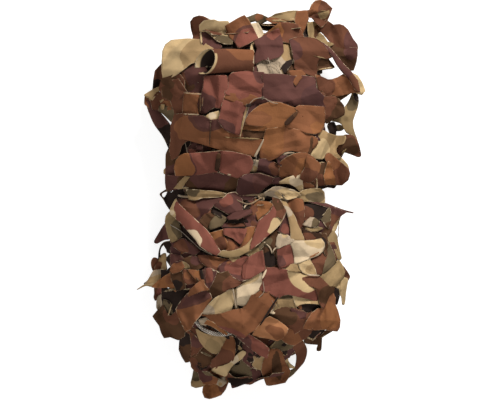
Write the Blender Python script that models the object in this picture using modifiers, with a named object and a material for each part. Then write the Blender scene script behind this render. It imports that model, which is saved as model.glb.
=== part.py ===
"""Leaf-cut camouflage netting, folded to a bundle, drawn in at the waist by a tie, lying on its back.

The frame: +X to the right and +Y up the bundle as it is looked at from above, +Z away from the surface
that it lies on, and the origin under the middle of the bundle.  Tables are in millimetres.

The netting is one solid: the folded support net with its garnish cloth is one back-and-forth section
carried along Y, and the incised leaves that stand clear of the fold are thin sheets grown out of it.
"""
import math
from typing import NamedTuple

import bmesh
import bpy
import numpy as np
from mathutils import Vector

MM = 0.001

# Driving sizes, millimetres
FOLD_LAYERS = 8            # layers of the back-and-forth fold, each one five plies of net and garnish
LAYER_GAP_SHARE = 0.2      # how much of a layer's pitch is the air between two layers
SHEET = 1.6                # thickness of a leaf that stands clear
CORNER_POWER = 2.6         # how square the bundle's cross-section is: 2 is an ellipse
CREST_SAG = 0.16           # how far the layers' edges sink below their middle, as a share of height
LEAF_OVERHANG = 1.15       # how far past the fold's edge the leaves' carrying surface still falls
FLANK_SHARE = 0.45         # height of the carrying surface past the fold's edge, as a share of height
FLOOR_CLEAR = 1.4          # lowest middle line of any leaf above the surface

TIE_DIAMETER = 2.4
ROPE_DIAMETER = 4.0
SEAT_GAP = 0.3             # air between the netting and the cords that touch it



class Station(NamedTuple):
    """A cross-section of the folded bundle: where along Y, its two edges in X, its height and its lift."""
    y: float
    left: float
    right: float
    height: float
    lift: float


STATIONS = (
    Station(-178, -36, 18, 50, 0),
    Station(-150, -60, 44, 82, 0),
    Station(-122, -78, 74, 98, 0),
    Station(-90, -80, 80, 104, 0),
    Station(-50, -77, 76, 99, 0),
    Station(-16, -76, 74, 86, 0),
    Station(4, -73, 68, 73, 6),
    Station(22, -76, 74, 85, 0),
    Station(46, -76, 74, 96, 0),
    Station(75, -74, 73, 102, 0),
    Station(102, -79, 72, 104, 0),
    Station(130, -80, 69, 101, 0),
    Station(150, -70, 68, 91, 0),
    Station(167, -50, 56, 72, 0),
)


class Fold(NamedTuple):
    """One turn of the fold, from the bottom: how far it falls short of the edge, and its raggedness."""
    short: float
    ragged: float


FOLDS = (
    Fold(0.00, 2.0),
    Fold(0.05, -4.0),
    Fold(0.00, 3.0),
    Fold(0.06, 0.0),
    Fold(0.01, -5.0),
    Fold(0.03, 4.0),
    Fold(0.05, -2.0),
    Fold(0.00, 3.0),
    Fold(0.04, -3.0),
)


class Leaf(NamedTuple):
    """A leaf of the cut garnish: root and tip in plan, sideways bow, widths, heights and sideways tilt.

    Heights are above the bundle's carrying surface, at the root, the middle and the tip; tilts are in
    degrees at the root and the tip, positive with the edge on the left of the way to the tip raised.
    """
    x0: float
    y0: float
    x1: float
    y1: float
    bow: float
    w0: float
    wm: float
    w1: float
    z0: float
    zm: float
    z1: float
    tilt0: float
    tilt1: float


FRONT_LEAVES = (
    # top edge and its right-hand cowl
    Leaf(-26, 168, -59, 173, 0, 20, 21, 18, -6, 3, 4, 0, 8),
    Leaf(-14, 163, -48, 172, 0, 24, 20, 10, 0, 6, 7, 0, 0),
    Leaf(-2, 158, -16, 181, 0, 21, 21, 21, -3, 10, 8, 5, -8),
    Leaf(-4, 176, 50, 187, 4, 6, 8, 10, -3, 6, 2, 30, -20),
    Leaf(52, 158, 54, 188, 0, 14, 15, 16, -4, 3, 0, 0, 6),
    Leaf(50, 172, 74, 196, 3, 16, 21, 12, -8, 6, 2, -12, 20),
    Leaf(70, 162, 79, 192, -3, 9, 12, 7, -16, -4, 0, 40, 20),
    Leaf(45, 156, 18, 173, 0, 22, 20, 13, -3, 3, 2, 0, 0),
    Leaf(60, 172, 104, 138, 11, 18, 24, 18, -18, 2, -8, 10, -14),
    # left shoulder
    Leaf(-46, 151, -87, 138, -3, 18, 33, 27, -4, 6, 2, 4, -6),
    Leaf(-66, 136, -97, 110, 3, 10, 10, 5, -24, -12, -16, 0, 0),
    Leaf(-70, 122, -105, 104, 0, 10, 9, 3, -22, -14, -20, 20, 0),
    Leaf(-68, 42, -104, 103, 1, 8, 12, 7, -22, -14, -20, -18, 24),
    Leaf(-68, 92, -91, 95, 0, 26, 20, 8, -6, 0, -6, 0, 0),
    # upper face
    Leaf(4, 151, 31, 160, 0, 21, 24, 20, -2, 7, 7, 0, 14),
    Leaf(30, 156, 26, 121, 0, 24, 34, 17, -2, 4, 3, 0, 0),
    Leaf(32, 141, 76, 145, 0, 34, 37, 28, 0, 9, 4, 2, -8),
    Leaf(66, 152, 110, 112, 4, 14, 14, 15, 0, 2, -6, 12, -10),
    Leaf(98, 122, 113, 108, 0, 12, 12, 8, -6, -6, -8, 0, 0),
    Leaf(60, 112, 108, 116, -2, 22, 18, 16, -4, 4, -2, -8, 14),
    Leaf(72, 104, 14, 112, 0, 24, 27, 27, -3, 5, 6, -2, 6),
    Leaf(12, 112, -27, 116, 0, 32, 31, 26, 2, 8, 8, 3, -3),
    Leaf(-13, 104, -22, 74, 0, 28, 28, 26, 7, 8, 2, 0, 0),
    Leaf(-23, 105, -46, 110, 0, 32, 31, 22, -1, 4, 4, 0, 0),
    Leaf(-57, 107, -57, 85, 0, 24, 24, 24, -2, 4, 5, 0, 0),
    Leaf(8, 60, -76, 72, 0, 34, 37, 33, -2, 6, 3, -2, 4),
    Leaf(-62, 80, -79, 44, 0, 20, 18, 10, -2, 1, -4, 0, 0),
    Leaf(46, 82, -5, 84, 0, 27, 31, 24, -2, 6, 6, 0, 0),
    Leaf(38, 82, 74, 82, 0, 28, 29, 26, 6, 9, 5, 0, 0),
    Leaf(68, 60, 14, 52, 0, 30, 37, 34, -2, 4, 3, 0, 0),
    Leaf(68, 98, 94, 95, 0, 34, 30, 15, -8, -2, -8, 0, 0),
    Leaf(66, 52, 93, 80, 0, 24, 26, 14, -8, 2, -4, 0, 0),
    Leaf(66, 84, 104, 80, 2, 10, 8, 8, -18, -12, -12, 0, 0),
    Leaf(107, 112, 101, 78, 3, 8, 10, 8, -8, -12, -12, 20, -20),
    Leaf(101, 83, 110, 46, -2, 8, 8, 10, -12, -12, -14, -20, 10),
    Leaf(70, 56, 110, 44, 0, 14, 15, 4, -14, -8, -14, 0, 14),
    # the long tongue and the brown leaves above the waist
    Leaf(8, 33, -74, 34, 0, 22, 25, 23, 0, 9, 8, 4, -4),
    Leaf(-66, 50, -78, 12, -3, 11, 11, 11, -16, -8, -14, 0, 0),
    Leaf(44, 30, 98, 34, 0, 26, 29, 22, -1, 9, 0, 3, -10),
    Leaf(52, 46, 38, 18, 0, 36, 36, 28, 0, 5, 2, 0, 0),
    # waist
    Leaf(-58, 2, -90, 7, 0, 22, 17, 5, -10, -4, -12, 0, 0),
    Leaf(-24, 4, -63, 6, 0, 4, 8, 8, -2, 4, 2, 20, -20),
    Leaf(54, 9, 33, 19, 0, 15, 10, 2, 0, 9, 7, 0, -20),
    Leaf(52, 6, 14, 6, 0, 8, 12, 3, -2, 5, 2, 14, 0),
    Leaf(46, 4, 73, 4, 0, 6, 11, 14, -2, 2, -6, 0, 0),
    Leaf(52, -12, 103, -13, 3, 24, 19, 2, -2, 4, -12, 0, 10),
    Leaf(76, -12, 88, -32, 0, 10, 9, 5, -12, -10, -14, 0, 0),
    Leaf(32, 0, 48, -40, 4, 7, 10, 12, 2, 6, 4, 0, 0),
    # the hooped ribbon below the waist
    Leaf(-79, -2, -26, -51, 1, 6, 15, 15, -8, 11, 9, 0, -10),
    Leaf(-33, -48, 8, -45, -6, 15, 13, 12, 8, 10, 10, -10, 0),
    Leaf(2, -46, 26, 2, -4, 12, 21, 6, 9, 12, 2, 0, 16),
    Leaf(-8, -5, -35, -8, 0, 20, 25, 14, -2, 7, 5, 0, 0),
    Leaf(-36, -10, -66, -12, 0, 30, 31, 26, -3, 3, 0, 0, 0),
    Leaf(7, -16, -24, -15, 0, 14, 16, 12, -2, 6, 3, 0, 0),
    Leaf(-3, -30, -28, -36, 0, 12, 16, 12, -1, 6, 4, 0, 0),
    Leaf(-66, -14, -82, -39, -3, 12, 19, 11, -8, -1, -5, 0, 0),
    Leaf(-68, -24, -95, -45, 0, 20, 15, 3, -18, -10, -14, 0, 0),
    Leaf(-66, -40, -92, -57, 5, 8, 5, 5, -22, -18, -20, 0, 0),
    Leaf(-91, -53, -94, -74, -1, 5, 9, 9, -20, -20, -20, 0, 0),
    Leaf(-18, -61, -76, -49, 0, 16, 21, 14, -2, 4, 0, 0, 0),
    # right side, below the waist
    Leaf(22, -62, 44, -52, 0, 22, 23, 20, -1, 6, 4, 0, 0),
    Leaf(38, -52, 74, -47, 0, 20, 23, 16, 1, 8, 3, 0, 0),
    Leaf(66, -24, 86, -66, 4, 12, 13, 10, -12, -4, -8, 0, 0),
    Leaf(62, -84, 92, -67, 0, 16, 23, 16, -3, 3, -6, 0, 0),
    Leaf(82, -66, 100, -79, 0, 12, 9, 3, -14, -10, -14, 0, 0),
    Leaf(84, -74, 96, -106, 0, 16, 9, 2, -14, -8, -16, 0, 0),
    Leaf(4, -62, 40, -70, 0, 18, 23, 20, -1, 5, 4, 0, 0),
    # left point and the star of folds beside it
    Leaf(-66, -78, -114, -89, 0, 20, 17, 2, -14, -6, -14, 0, 0),
    Leaf(-42, -86, -86, -72, 0, 24, 27, 14, -2, 7, -4, 0, 0),
    Leaf(-36, -82, -66, -62, 0, 12, 17, 12, 0, 6, 2, 0, 0),
    Leaf(-60, -114, -95, -122, 0, 28, 27, 10, -8, 0, -8, 0, 0),
    Leaf(-44, -91, -66, -132, 2, 22, 27, 18, -2, 8, 2, 0, 0),
    # lower face
    Leaf(-7, -79, -40, -90, 0, 18, 23, 16, -1, 6, 4, 0, 0),
    Leaf(12, -61, -35, -72, 0, 18, 21, 14, 0, 6, 4, 0, 0),
    Leaf(-12, -98, -49, -112, 0, 20, 18, 8, -1, 4, 2, 0, 0),
    Leaf(9, -75, -8, -106, 0, 16, 24, 18, 0, 6, 4, 0, 0),
    Leaf(30, -88, -30, -126, -2, 26, 36, 18, -1, 8, 6, 0, 0),
    Leaf(-12, -133, 16, -152, 0, 14, 17, 16, 3, 7, 2, 0, 0),
    Leaf(-36, -126, -34, -155, 0, 32, 27, 13, -10, -4, -8, 0, 0),
    Leaf(-52, -126, -66, -161, 0, 24, 25, 10, -8, -2, -8, 0, 0),
    Leaf(14, -82, 80, -92, 0, 28, 31, 34, 0, 7, 2, 0, 0),
    Leaf(66, -98, 74, -130, 0, 16, 31, 34, 0, 6, -4, 0, 0),
    Leaf(62, -121, 24, -122, 0, 20, 27, 22, 0, 6, 5, 0, 0),
    Leaf(42, -124, 8, -142, 0, 20, 23, 14, 2, 8, 5, 0, 0),
    # bottom edge
    Leaf(-38, -155, -59, -167, 0, 16, 18, 12, -8, -2, -4, 0, 0),
    Leaf(-34, -166, -55, -187, 0, 14, 17, 12, -14, -10, -12, 0, 0),
    Leaf(-22, -174, -43, -196, -2, 16, 19, 13, -14, -10, -14, 0, 0),
    Leaf(-22, -138, -28, -168, 0, 16, 21, 18, -2, 3, 0, 0, 0),
    Leaf(-4, -149, -35, -175, 0, 5, 9, 8, -1, 4, 2, 0, 0),
    Leaf(-10, -155, -10, -185, 0, 22, 26, 16, -6, 0, -6, 0, 0),
    Leaf(8, -166, -20, -186, 0, 16, 16, 8, -12, -8, -14, 0, 0),
    Leaf(22, -148, 26, -187, 0, 18, 24, 22, -8, 2, -6, 0, 0),
    Leaf(40, -134, 34, -180, 14, 12, 10, 9, -14, -10, -14, 0, 0),
    Leaf(62, -124, 69, -151, 0, 10, 4, 4, -24, -16, -18, 0, 0),
)


ROLL_START, ROLL_END = (-51, 133), (2, 136)
ROLL_RADIUS, ROLL_TURN = 9.0, 320.0   # the rolled leaf's radius, and its turn in degrees


class FlankRow(NamedTuple):
    """A row of like leaves down one flank: its side in X, the share of the height where they are rooted,
    the first one's place in Y, their step, how many, how far they stand out, fall and lean along Y."""
    side: int
    share: float
    first: float
    step: float
    count: int
    out: float
    fall: float
    lean: float
    width: float


FLANK_ROWS = (
    FlankRow(-1, 0.78, -140, 43, 7, 5, 30, 14, 32),
    FlankRow(1, 0.78, -126, 43, 7, 5, 30, -14, 32),
)
FLANK_ROOT = 12.0          # how deep a flank leaf's root sits in the fold


class EndLeaf(NamedTuple):
    """A leaf out of an open end of the fold: place in X, share of the end's height, fall and width,
    at the top end (1) or the bottom end (-1)."""
    x: float
    share: float
    fall: float
    width: float
    end: int


END_LEAVES = (
    EndLeaf(-26, 0.62, 22, 26, 1),
    EndLeaf(8, 0.70, 26, 26, 1),
    EndLeaf(36, 0.50, 20, 26, 1),
    EndLeaf(-16, 0.50, 18, 24, -1),
    EndLeaf(6, 0.60, 20, 20, -1),
)
END_ROOT, END_REACH = 14.0, 10.0   # how far an end leaf goes into the fold, and out of it


class Waypoint(NamedTuple):
    """A point on a cord's route in plan, and its lift above the bundle's carrying surface."""
    x: float
    y: float
    lift: float


ROPE_ROUTE = (
    Waypoint(-63, -103, -5),
    Waypoint(-59, -114, -1),
    Waypoint(-52, -125, 1),
    Waypoint(-43, -132, 2),
    Waypoint(-32, -135, 2),
    Waypoint(-21, -134, 1),
    Waypoint(-12, -129, -3),
)
TIE_WAIST = 5.0            # where along Y the tie runs round the bundle
TIE_BITE = 1.0             # how deep the tie presses into the bundle's waist
TIE_TURNS = 30             # points round the waist
KNOT = Waypoint(12, 3, 5)
KNOT_RADIUS = 3.4
TIE_ENDS = (
    (Waypoint(12, 3, 5), Waypoint(6, -1, 8), Waypoint(-1, -4, 9.5), Waypoint(-9, -2, 9.5), Waypoint(-16, 2, 8)),
    (Waypoint(12, 3, 5), Waypoint(16, 7, 8), Waypoint(21, 10, 10), Waypoint(27, 9, 11), Waypoint(32, 5, 12)),
)


def clear_scene():
    """Start from an empty scene."""
    for obj in list(bpy.data.objects):
        bpy.data.objects.remove(obj, do_unlink=True)


def collection(name):
    """A new collection linked to the scene."""
    made = bpy.data.collections.new(name)
    bpy.context.scene.collection.children.link(made)
    return made


def finish(name, colour, roughness):
    """A plain Principled material for one sub-part."""
    made = bpy.data.materials.new(name)
    made.use_nodes = True
    shader = made.node_tree.nodes["Principled BSDF"]
    shader.inputs["Base Color"].default_value = (*colour, 1.0)
    shader.inputs["Roughness"].default_value = roughness
    shader.inputs["Metallic"].default_value = 0.0
    return made


def girth(y):
    """Left edge, right edge, height and lift of the bundle at y, between the stations."""
    ys = [s.y for s in STATIONS]
    return [float(np.interp(y, ys, [getattr(s, k) for s in STATIONS]))
            for k in ("left", "right", "height", "lift")]


def carrier(x, y):
    """Height of the surface that the leaves lie on: nearly flat in the middle, falling to the flanks."""
    left, right, height, _ = girth(y)
    across = abs(2 * x - left - right) / (right - left)
    fall = min(across / LEAF_OVERHANG, 1.0) ** 4
    return height * (FLANK_SHARE + (1 - FLANK_SHARE) * (1 - fall))


def between(a, m, b, u):
    """The parabola through a, m and b at u = 0, 1/2 and 1."""
    return a * (1 - u) * (1 - 2 * u) + 4 * m * u * (1 - u) + b * u * (2 * u - 1)


def fold_line():
    """The fold's middle line as (across -1..1, height 0..1, raggedness): layers joined by half circles."""
    pitch = 1.0 / FOLD_LAYERS
    line = []
    for layer in range(FOLD_LAYERS):
        height = (layer + 0.5) * pitch
        way = 1 if layer % 2 == 0 else -1
        reach = [(1 - abs(2 * height - 1) ** CORNER_POWER) ** (1 / CORNER_POWER)] * 2
        ends = [reach[0] * (1 - FOLDS[layer].short), reach[1] * (1 - FOLDS[layer + 1].short)]
        rags = [FOLDS[layer].ragged, FOLDS[layer + 1].ragged]
        for share in (0.0, 0.5, 1.0):
            across = way * (-ends[0] + share * (ends[0] + ends[1]))
            line.append((across, height, rags[0] + share * (rags[1] - rags[0])))
    return line


def fold_section(station):
    """The closed outline of the fold at a station, a layer's thickness round the fold's middle line."""
    pitch = station.height / FOLD_LAYERS
    half = pitch * (1 - LAYER_GAP_SHARE) / 2
    middle, reach = (station.left + station.right) / 2, (station.right - station.left) / 2
    flat = [Vector((middle + (reach - pitch) * a, h * station.height)) for a, h, _ in fold_line()]
    rag = [r for _, _, r in fold_line()]
    path, drift = [], []
    for i, point in enumerate(flat):
        path.append(point)
        drift.append(rag[i])
        turn = i % 3 == 2 and i + 1 < len(flat)
        if turn:
            side = 1 if (i // 3) % 2 == 0 else -1
            centre = (point + flat[i + 1]) / 2
            for angle in (-30, 30):
                swing = Vector((side * math.cos(math.radians(angle)), math.sin(math.radians(angle))))
                path.append(centre + swing * pitch / 2)
                drift.append(rag[i])
    left, right = [], []
    for i, point in enumerate(path):
        before, after = path[max(i - 1, 0)], path[min(i + 1, len(path) - 1)]
        tangent = (after - before).normalized()
        normal = Vector((-tangent.y, tangent.x))
        left.append(point + normal * half)
        right.append(point - normal * half)
    outline = [(p, d) for p, d in zip(right, drift)] + [(p, d) for p, d in zip(left[::-1], drift[::-1])]
    ring = []
    for point, d in outline:
        across = (point.x - middle) / reach
        above = point.y - (pitch / 2 - half)
        z = above if above > half / 4 else 0.0
        sag = 1 - CREST_SAG * abs(across) ** 3
        end = (station.y - STATIONS[0].y) / (STATIONS[-1].y - STATIONS[0].y) * 2 - 1
        y = station.y + d * end ** 5
        ring.append(Vector((point.x, y, station.lift + z * sag)) * MM)
    return ring


def folded_body(name, target):
    """The fold as one closed loft through the stations' outlines."""
    mesh = bpy.data.meshes.new(name)
    work = bmesh.new()
    rings = [[work.verts.new(p) for p in fold_section(s)] for s in STATIONS]
    count = len(rings[0])
    for near, far in zip(rings, rings[1:]):
        for i in range(count):
            j = (i + 1) % count
            work.faces.new((near[i], near[j], far[j], far[i]))
    work.faces.new(rings[0][::-1])
    work.faces.new(rings[-1])
    bmesh.ops.recalc_face_normals(work, faces=work.faces)
    bmesh.ops.triangulate(work, faces=work.faces)
    work.to_mesh(mesh)
    work.free()
    obj = bpy.data.objects.new(name, mesh)
    target.objects.link(obj)
    return obj


def sheet_object(name, rows, columns, place, target):
    """A thin leaf: a grid laid out by place(u, v) and thickened; it is only a guide for the union."""
    mesh = bpy.data.meshes.new(name)
    work = bmesh.new()
    bmesh.ops.create_grid(work, x_segments=rows, y_segments=columns, size=1.0)
    for vert in work.verts:
        vert.co = place((vert.co.x + 1) / 2, vert.co.y)
    work.to_mesh(mesh)
    work.free()
    obj = bpy.data.objects.new(name, mesh)
    wall = obj.modifiers.new("thickness", "SOLIDIFY")
    wall.thickness = SHEET * MM
    wall.offset = 0.0
    obj.modifiers.new("triangles", "TRIANGULATE")
    obj.hide_render = True
    obj.display_type = "WIRE"
    target.objects.link(obj)
    return obj


def front_leaf(name, leaf, target):
    """One leaf of the table: a tongue along a bowed line, rounded at the tip, tilted and lifted."""
    root, tip = Vector((leaf.x0, leaf.y0)), Vector((leaf.x1, leaf.y1))
    run = tip - root
    side = Vector((-run.y, run.x)).normalized()
    bend = (root + tip) / 2 + side * 2 * leaf.bow
    rows = 2 + int(run.length / 44)
    columns = 1 if max(leaf.w0, leaf.wm, leaf.w1) < 20 else 2

    def place(share, v):
        u = 1 - (1 - share) ** 1.5
        line = root * (1 - u) ** 2 + bend * 2 * u * (1 - u) + tip * u ** 2
        way = (bend - root) * (1 - u) + (tip - bend) * u
        across = Vector((-way.y, way.x)).normalized()
        rounded = 1 - 0.3 * max(u - 0.85, 0) / 0.15
        half = between(leaf.w0, leaf.wm, leaf.w1, u) / 2 * rounded
        tilt = math.radians(leaf.tilt0 + (leaf.tilt1 - leaf.tilt0) * u)
        plan = line + across * v * half * math.cos(tilt)
        crown = 0.05 * half * (1 - v * v)
        z = carrier(plan.x, plan.y) + between(leaf.z0, leaf.zm, leaf.z1, u)
        z += crown + v * half * math.sin(tilt)
        return Vector((plan.x, plan.y, max(z, FLOOR_CLEAR))) * MM

    return sheet_object(name, rows, columns, place, target)


def rolled_leaf(name, target):
    """The leaf rolled to a tube near the top: most of a turn of cloth round a line that sinks to its end."""

    def place(u, v):
        line = Vector(ROLL_START) * (1 - u) + Vector(ROLL_END) * u
        angle = math.radians(90 + v * ROLL_TURN / 2)
        half = ROLL_RADIUS * (1 - 0.15 * u)
        height = carrier(line.x, line.y) + ROLL_RADIUS - 2 - 4 * u
        return Vector((line.x, line.y + half * math.cos(angle), height + half * math.sin(angle))) * MM

    return sheet_object(name, 2, 8, place, target)


def flank_leaf(name, row, index, target):
    """A leaf that hangs on a flank: rooted in the fold, leaning out and falling along the side."""
    y0 = row.first + index * row.step
    left, right, height, _ = girth(y0)
    edge = right if row.side > 0 else left
    skew = 3.0 * (index % 3 - 1)

    def place(u, v):
        y = y0 + v * row.width / 2 * (1 - 0.25 * u) + row.lean * u
        x = edge + row.side * (row.out * math.sin(math.pi * min(u, 0.8)) - FLANK_ROOT * (1 - u))
        z = height * row.share - row.fall * u ** 1.4 + skew * v
        return Vector((x, y, max(z, FLOOR_CLEAR))) * MM

    return sheet_object(name, 2, 2, place, target)


def end_leaf(name, leaf, target):
    """A leaf that stands out of the fold's open end and droops."""
    last = STATIONS[-1] if leaf.end > 0 else STATIONS[0]

    def place(u, v):
        x = leaf.x + v * leaf.width / 2 * (1 - 0.3 * u)
        y = last.y + leaf.end * (u * (END_ROOT + END_REACH) - END_ROOT)
        z = last.height * leaf.share - leaf.fall * u ** 2 + 2 * v
        return Vector((x, y, max(z, FLOOR_CLEAR))) * MM

    return sheet_object(name, 3, 2, place, target)


def main_body(mesh):
    """Keep the one outer shell of a united mesh: loose scraps and sealed pockets go."""
    work = bmesh.new()
    work.from_mesh(mesh)
    seen, shells = set(), []
    for face in work.faces:
        if face in seen:
            continue
        shell, queue = [], [face]
        seen.add(face)
        while queue:
            item = queue.pop()
            shell.append(item)
            for edge in item.edges:
                for other in edge.link_faces:
                    if other not in seen:
                        seen.add(other)
                        queue.append(other)
        shells.append(shell)
    largest = max(shells, key=lambda s: sum(f.calc_area() for f in s))
    keep = set(largest)
    bmesh.ops.delete(work, geom=[f for f in work.faces if f not in keep], context="FACES")
    bmesh.ops.triangulate(work, faces=work.faces, quad_method="BEAUTY", ngon_method="EAR_CLIP")
    work.to_mesh(mesh)
    work.free()


def applied(obj):
    """Replace an object's mesh by what its modifiers make of it."""
    bpy.context.view_layer.update()
    graph = bpy.context.evaluated_depsgraph_get()
    made = bpy.data.meshes.new_from_object(obj.evaluated_get(graph))
    obj.modifiers.clear()
    obj.data = made
    return obj


def boolean(obj, operation, other=None, group=None):
    """A Boolean with one other solid or with a whole collection of them.

    The exact solver leaves open edges where many thin sheets cross, so all of them use the manifold one.
    """
    step = obj.modifiers.new(operation.lower(), "BOOLEAN")
    step.operation = operation
    step.solver = "MANIFOLD"
    if group is None:
        step.object = other
    else:
        step.operand_type = "COLLECTION"
        step.collection = group
    return step


def smooth_route(points, count, closed=False):
    """Points along a smooth curve through the route's own points (Catmull-Rom), evenly many a stretch."""
    p = np.array([tuple(q) for q in points], float)
    if closed:
        p = np.vstack([p[-1], p, p[0], p[1]])
    else:
        p = np.vstack([2 * p[0] - p[1], p, 2 * p[-1] - p[-2]])
    made = []
    for a, b, c, d in zip(p, p[1:], p[2:], p[3:]):
        for t in np.linspace(0, 1, count, endpoint=False):
            made.append(0.5 * (2 * b + (c - a) * t + (2 * a - 5 * b + 4 * c - d) * t ** 2
                               + (3 * b - a - 3 * c + d) * t ** 3))
    if not closed:
        made.append(p[-2])
    return made


def cord(name, points, diameter, target, closed=False):
    """A cord as a curve with a round bevel and filled caps, made a closed mesh."""
    curve = bpy.data.curves.new(name, "CURVE")
    curve.dimensions = "3D"
    curve.bevel_depth = diameter / 2 * MM
    curve.bevel_resolution = 2
    curve.use_fill_caps = True
    line = curve.splines.new("POLY")
    line.points.add(len(points) - 1)
    for spot, point in zip(line.points, points):
        spot.co = (*(c * MM for c in point), 1.0)
    line.use_cyclic_u = closed
    obj = bpy.data.objects.new(name + "_curve", curve)
    target.objects.link(obj)
    bpy.context.view_layer.update()
    graph = bpy.context.evaluated_depsgraph_get()
    mesh = bpy.data.meshes.new_from_object(obj.evaluated_get(graph))
    work = bmesh.new()
    work.from_mesh(mesh)
    bmesh.ops.remove_doubles(work, verts=work.verts, dist=1e-6)
    work.to_mesh(mesh)
    work.free()
    solid = bpy.data.objects.new(name, mesh)
    solid.matrix_world = obj.matrix_world
    target.objects.link(solid)
    bpy.data.objects.remove(obj)
    return solid


def on_bundle(point):
    """A waypoint as a place in millimetres, its height taken from the carrying surface under it."""
    return (point.x, point.y, max(carrier(point.x, point.y) + point.lift, ROPE_DIAMETER))


def tie_ring():
    """Points round the waist: the bundle's rounded section there, drawn in by the tie's bite."""
    left, right, height, lift = girth(TIE_WAIST)
    middle, reach = (left + right) / 2, (right - left) / 2 - TIE_BITE
    half = height / 2 - TIE_BITE
    ring = []
    for i in range(TIE_TURNS):
        angle = 2 * math.pi * i / TIE_TURNS
        across, up = math.cos(angle), math.sin(angle)
        x = middle + reach * math.copysign(abs(across) ** (2 / CORNER_POWER), across)
        z = lift + height / 2 + half * math.copysign(abs(up) ** (2 / CORNER_POWER), up)
        ring.append((x, TIE_WAIST + 2 * math.sin(2 * angle), z))
    return ring


def tie(name, swell, target):
    """The tie: a cord round the waist, its knot on the front and two short free ends, as one solid."""
    ring = cord(name, tie_ring(), TIE_DIAMETER + 2 * swell, target, closed=True)
    work = bmesh.new()
    bmesh.ops.create_uvsphere(work, u_segments=10, v_segments=6, radius=(KNOT_RADIUS + swell) * MM)
    bmesh.ops.scale(work, vec=(1.2, 0.9, 0.8), verts=work.verts)
    bmesh.ops.translate(work, vec=[c * MM for c in on_bundle(KNOT)], verts=work.verts)
    lump = bpy.data.objects.new(name + "_knot", bpy.data.meshes.new(name + "_knot"))
    work.to_mesh(lump.data)
    work.free()
    target.objects.link(lump)
    pieces = [lump]
    for i, end in enumerate(TIE_ENDS):
        route = smooth_route([on_bundle(p) for p in end], 3)
        pieces.append(cord(f"{name}_end_{i}", route, TIE_DIAMETER + 2 * swell, target))
    for piece in pieces:
        boolean(ring, "UNION", other=piece)
    applied(ring)
    for piece in pieces:
        bpy.data.objects.remove(piece)
    return ring


def rope(name, swell, target):
    """The stretch of border rope that shows at the lower left, its ends tucked into the fold."""
    route = smooth_route([on_bundle(p) for p in ROPE_ROUTE], 3)
    return cord(name, route, ROPE_DIAMETER + 2 * swell, target)


def as_guide(obj):
    """Keep an object out of the model: it only cuts."""
    obj.hide_render = True
    obj.display_type = "WIRE"
    return obj


def dress(obj, name, colour, roughness):
    """Give a solid its one material."""
    obj.data.materials.clear()
    obj.data.materials.append(finish(name, colour, roughness))


def build():
    """Make the netting, its border rope and its tie."""
    clear_scene()
    parts = collection("camouflage_netting")
    leaves = collection("leaf_guides")
    cutters = collection("cord_cutters")
    netting = folded_body("netting", parts)
    for i, leaf in enumerate(FRONT_LEAVES):
        front_leaf(f"leaf_{i:03d}", leaf, leaves)
    rolled_leaf("leaf_rolled", leaves)
    for r, row in enumerate(FLANK_ROWS):
        for i in range(row.count):
            flank_leaf(f"flank_{r}_{i}", row, i, leaves)
    for i, leaf in enumerate(END_LEAVES):
        end_leaf(f"end_{i}", leaf, leaves)
    boolean(netting, "UNION", group=leaves)
    boolean(netting, "DIFFERENCE", other=as_guide(tie("tie_cutter", SEAT_GAP, cutters)))
    boolean(netting, "DIFFERENCE", other=as_guide(rope("rope_cutter", SEAT_GAP, cutters)))
    main_body(applied(netting).data)
    dress(netting, "garnish_cloth", (0.24, 0.11, 0.06), 0.6)
    dress(tie("tie_cord", 0.0, parts), "tie_yarn", (0.35, 0.29, 0.2), 0.8)
    dress(rope("border_rope", 0.0, parts), "rope_braid", (0.6, 0.57, 0.5), 0.8)


build()
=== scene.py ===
"""Looks of a folded, tied bundle of leaf-cut camouflage netting that lies on its back.

Tables are in millimetres in the bundle's own frame: +X right, +Y up the bundle, +Z out of its face.
Each leaf of the cut garnish cloth is a thin sheet of its own, laid on the bundle's carrying surface.
"""

import logging
import math
from dataclasses import dataclass, field
from enum import Enum
from typing import Protocol, Sequence

import bpy
import numpy as np
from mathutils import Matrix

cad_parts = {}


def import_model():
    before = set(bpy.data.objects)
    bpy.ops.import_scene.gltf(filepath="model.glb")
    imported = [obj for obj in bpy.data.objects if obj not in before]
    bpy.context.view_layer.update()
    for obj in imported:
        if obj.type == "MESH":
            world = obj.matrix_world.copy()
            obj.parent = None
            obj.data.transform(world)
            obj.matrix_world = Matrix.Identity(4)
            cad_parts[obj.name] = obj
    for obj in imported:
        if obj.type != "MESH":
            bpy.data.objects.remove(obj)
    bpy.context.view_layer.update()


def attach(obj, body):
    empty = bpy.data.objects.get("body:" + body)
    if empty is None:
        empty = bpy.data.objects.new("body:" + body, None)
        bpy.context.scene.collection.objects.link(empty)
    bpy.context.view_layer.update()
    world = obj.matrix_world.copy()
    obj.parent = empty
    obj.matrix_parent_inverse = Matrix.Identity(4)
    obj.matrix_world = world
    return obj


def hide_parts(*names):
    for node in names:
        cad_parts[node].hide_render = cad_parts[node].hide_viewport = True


LOG = logging.getLogger("camouflage_netting")
MM = 0.001
SQUARE_MM_PER_SQUARE_M = 1e6
Array = np.ndarray
Place = tuple[float, float]
Span = tuple[float, float]
Route = tuple[tuple[float, float, float], ...]
UP = np.array((0.0, 0.0, 1.0))


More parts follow.
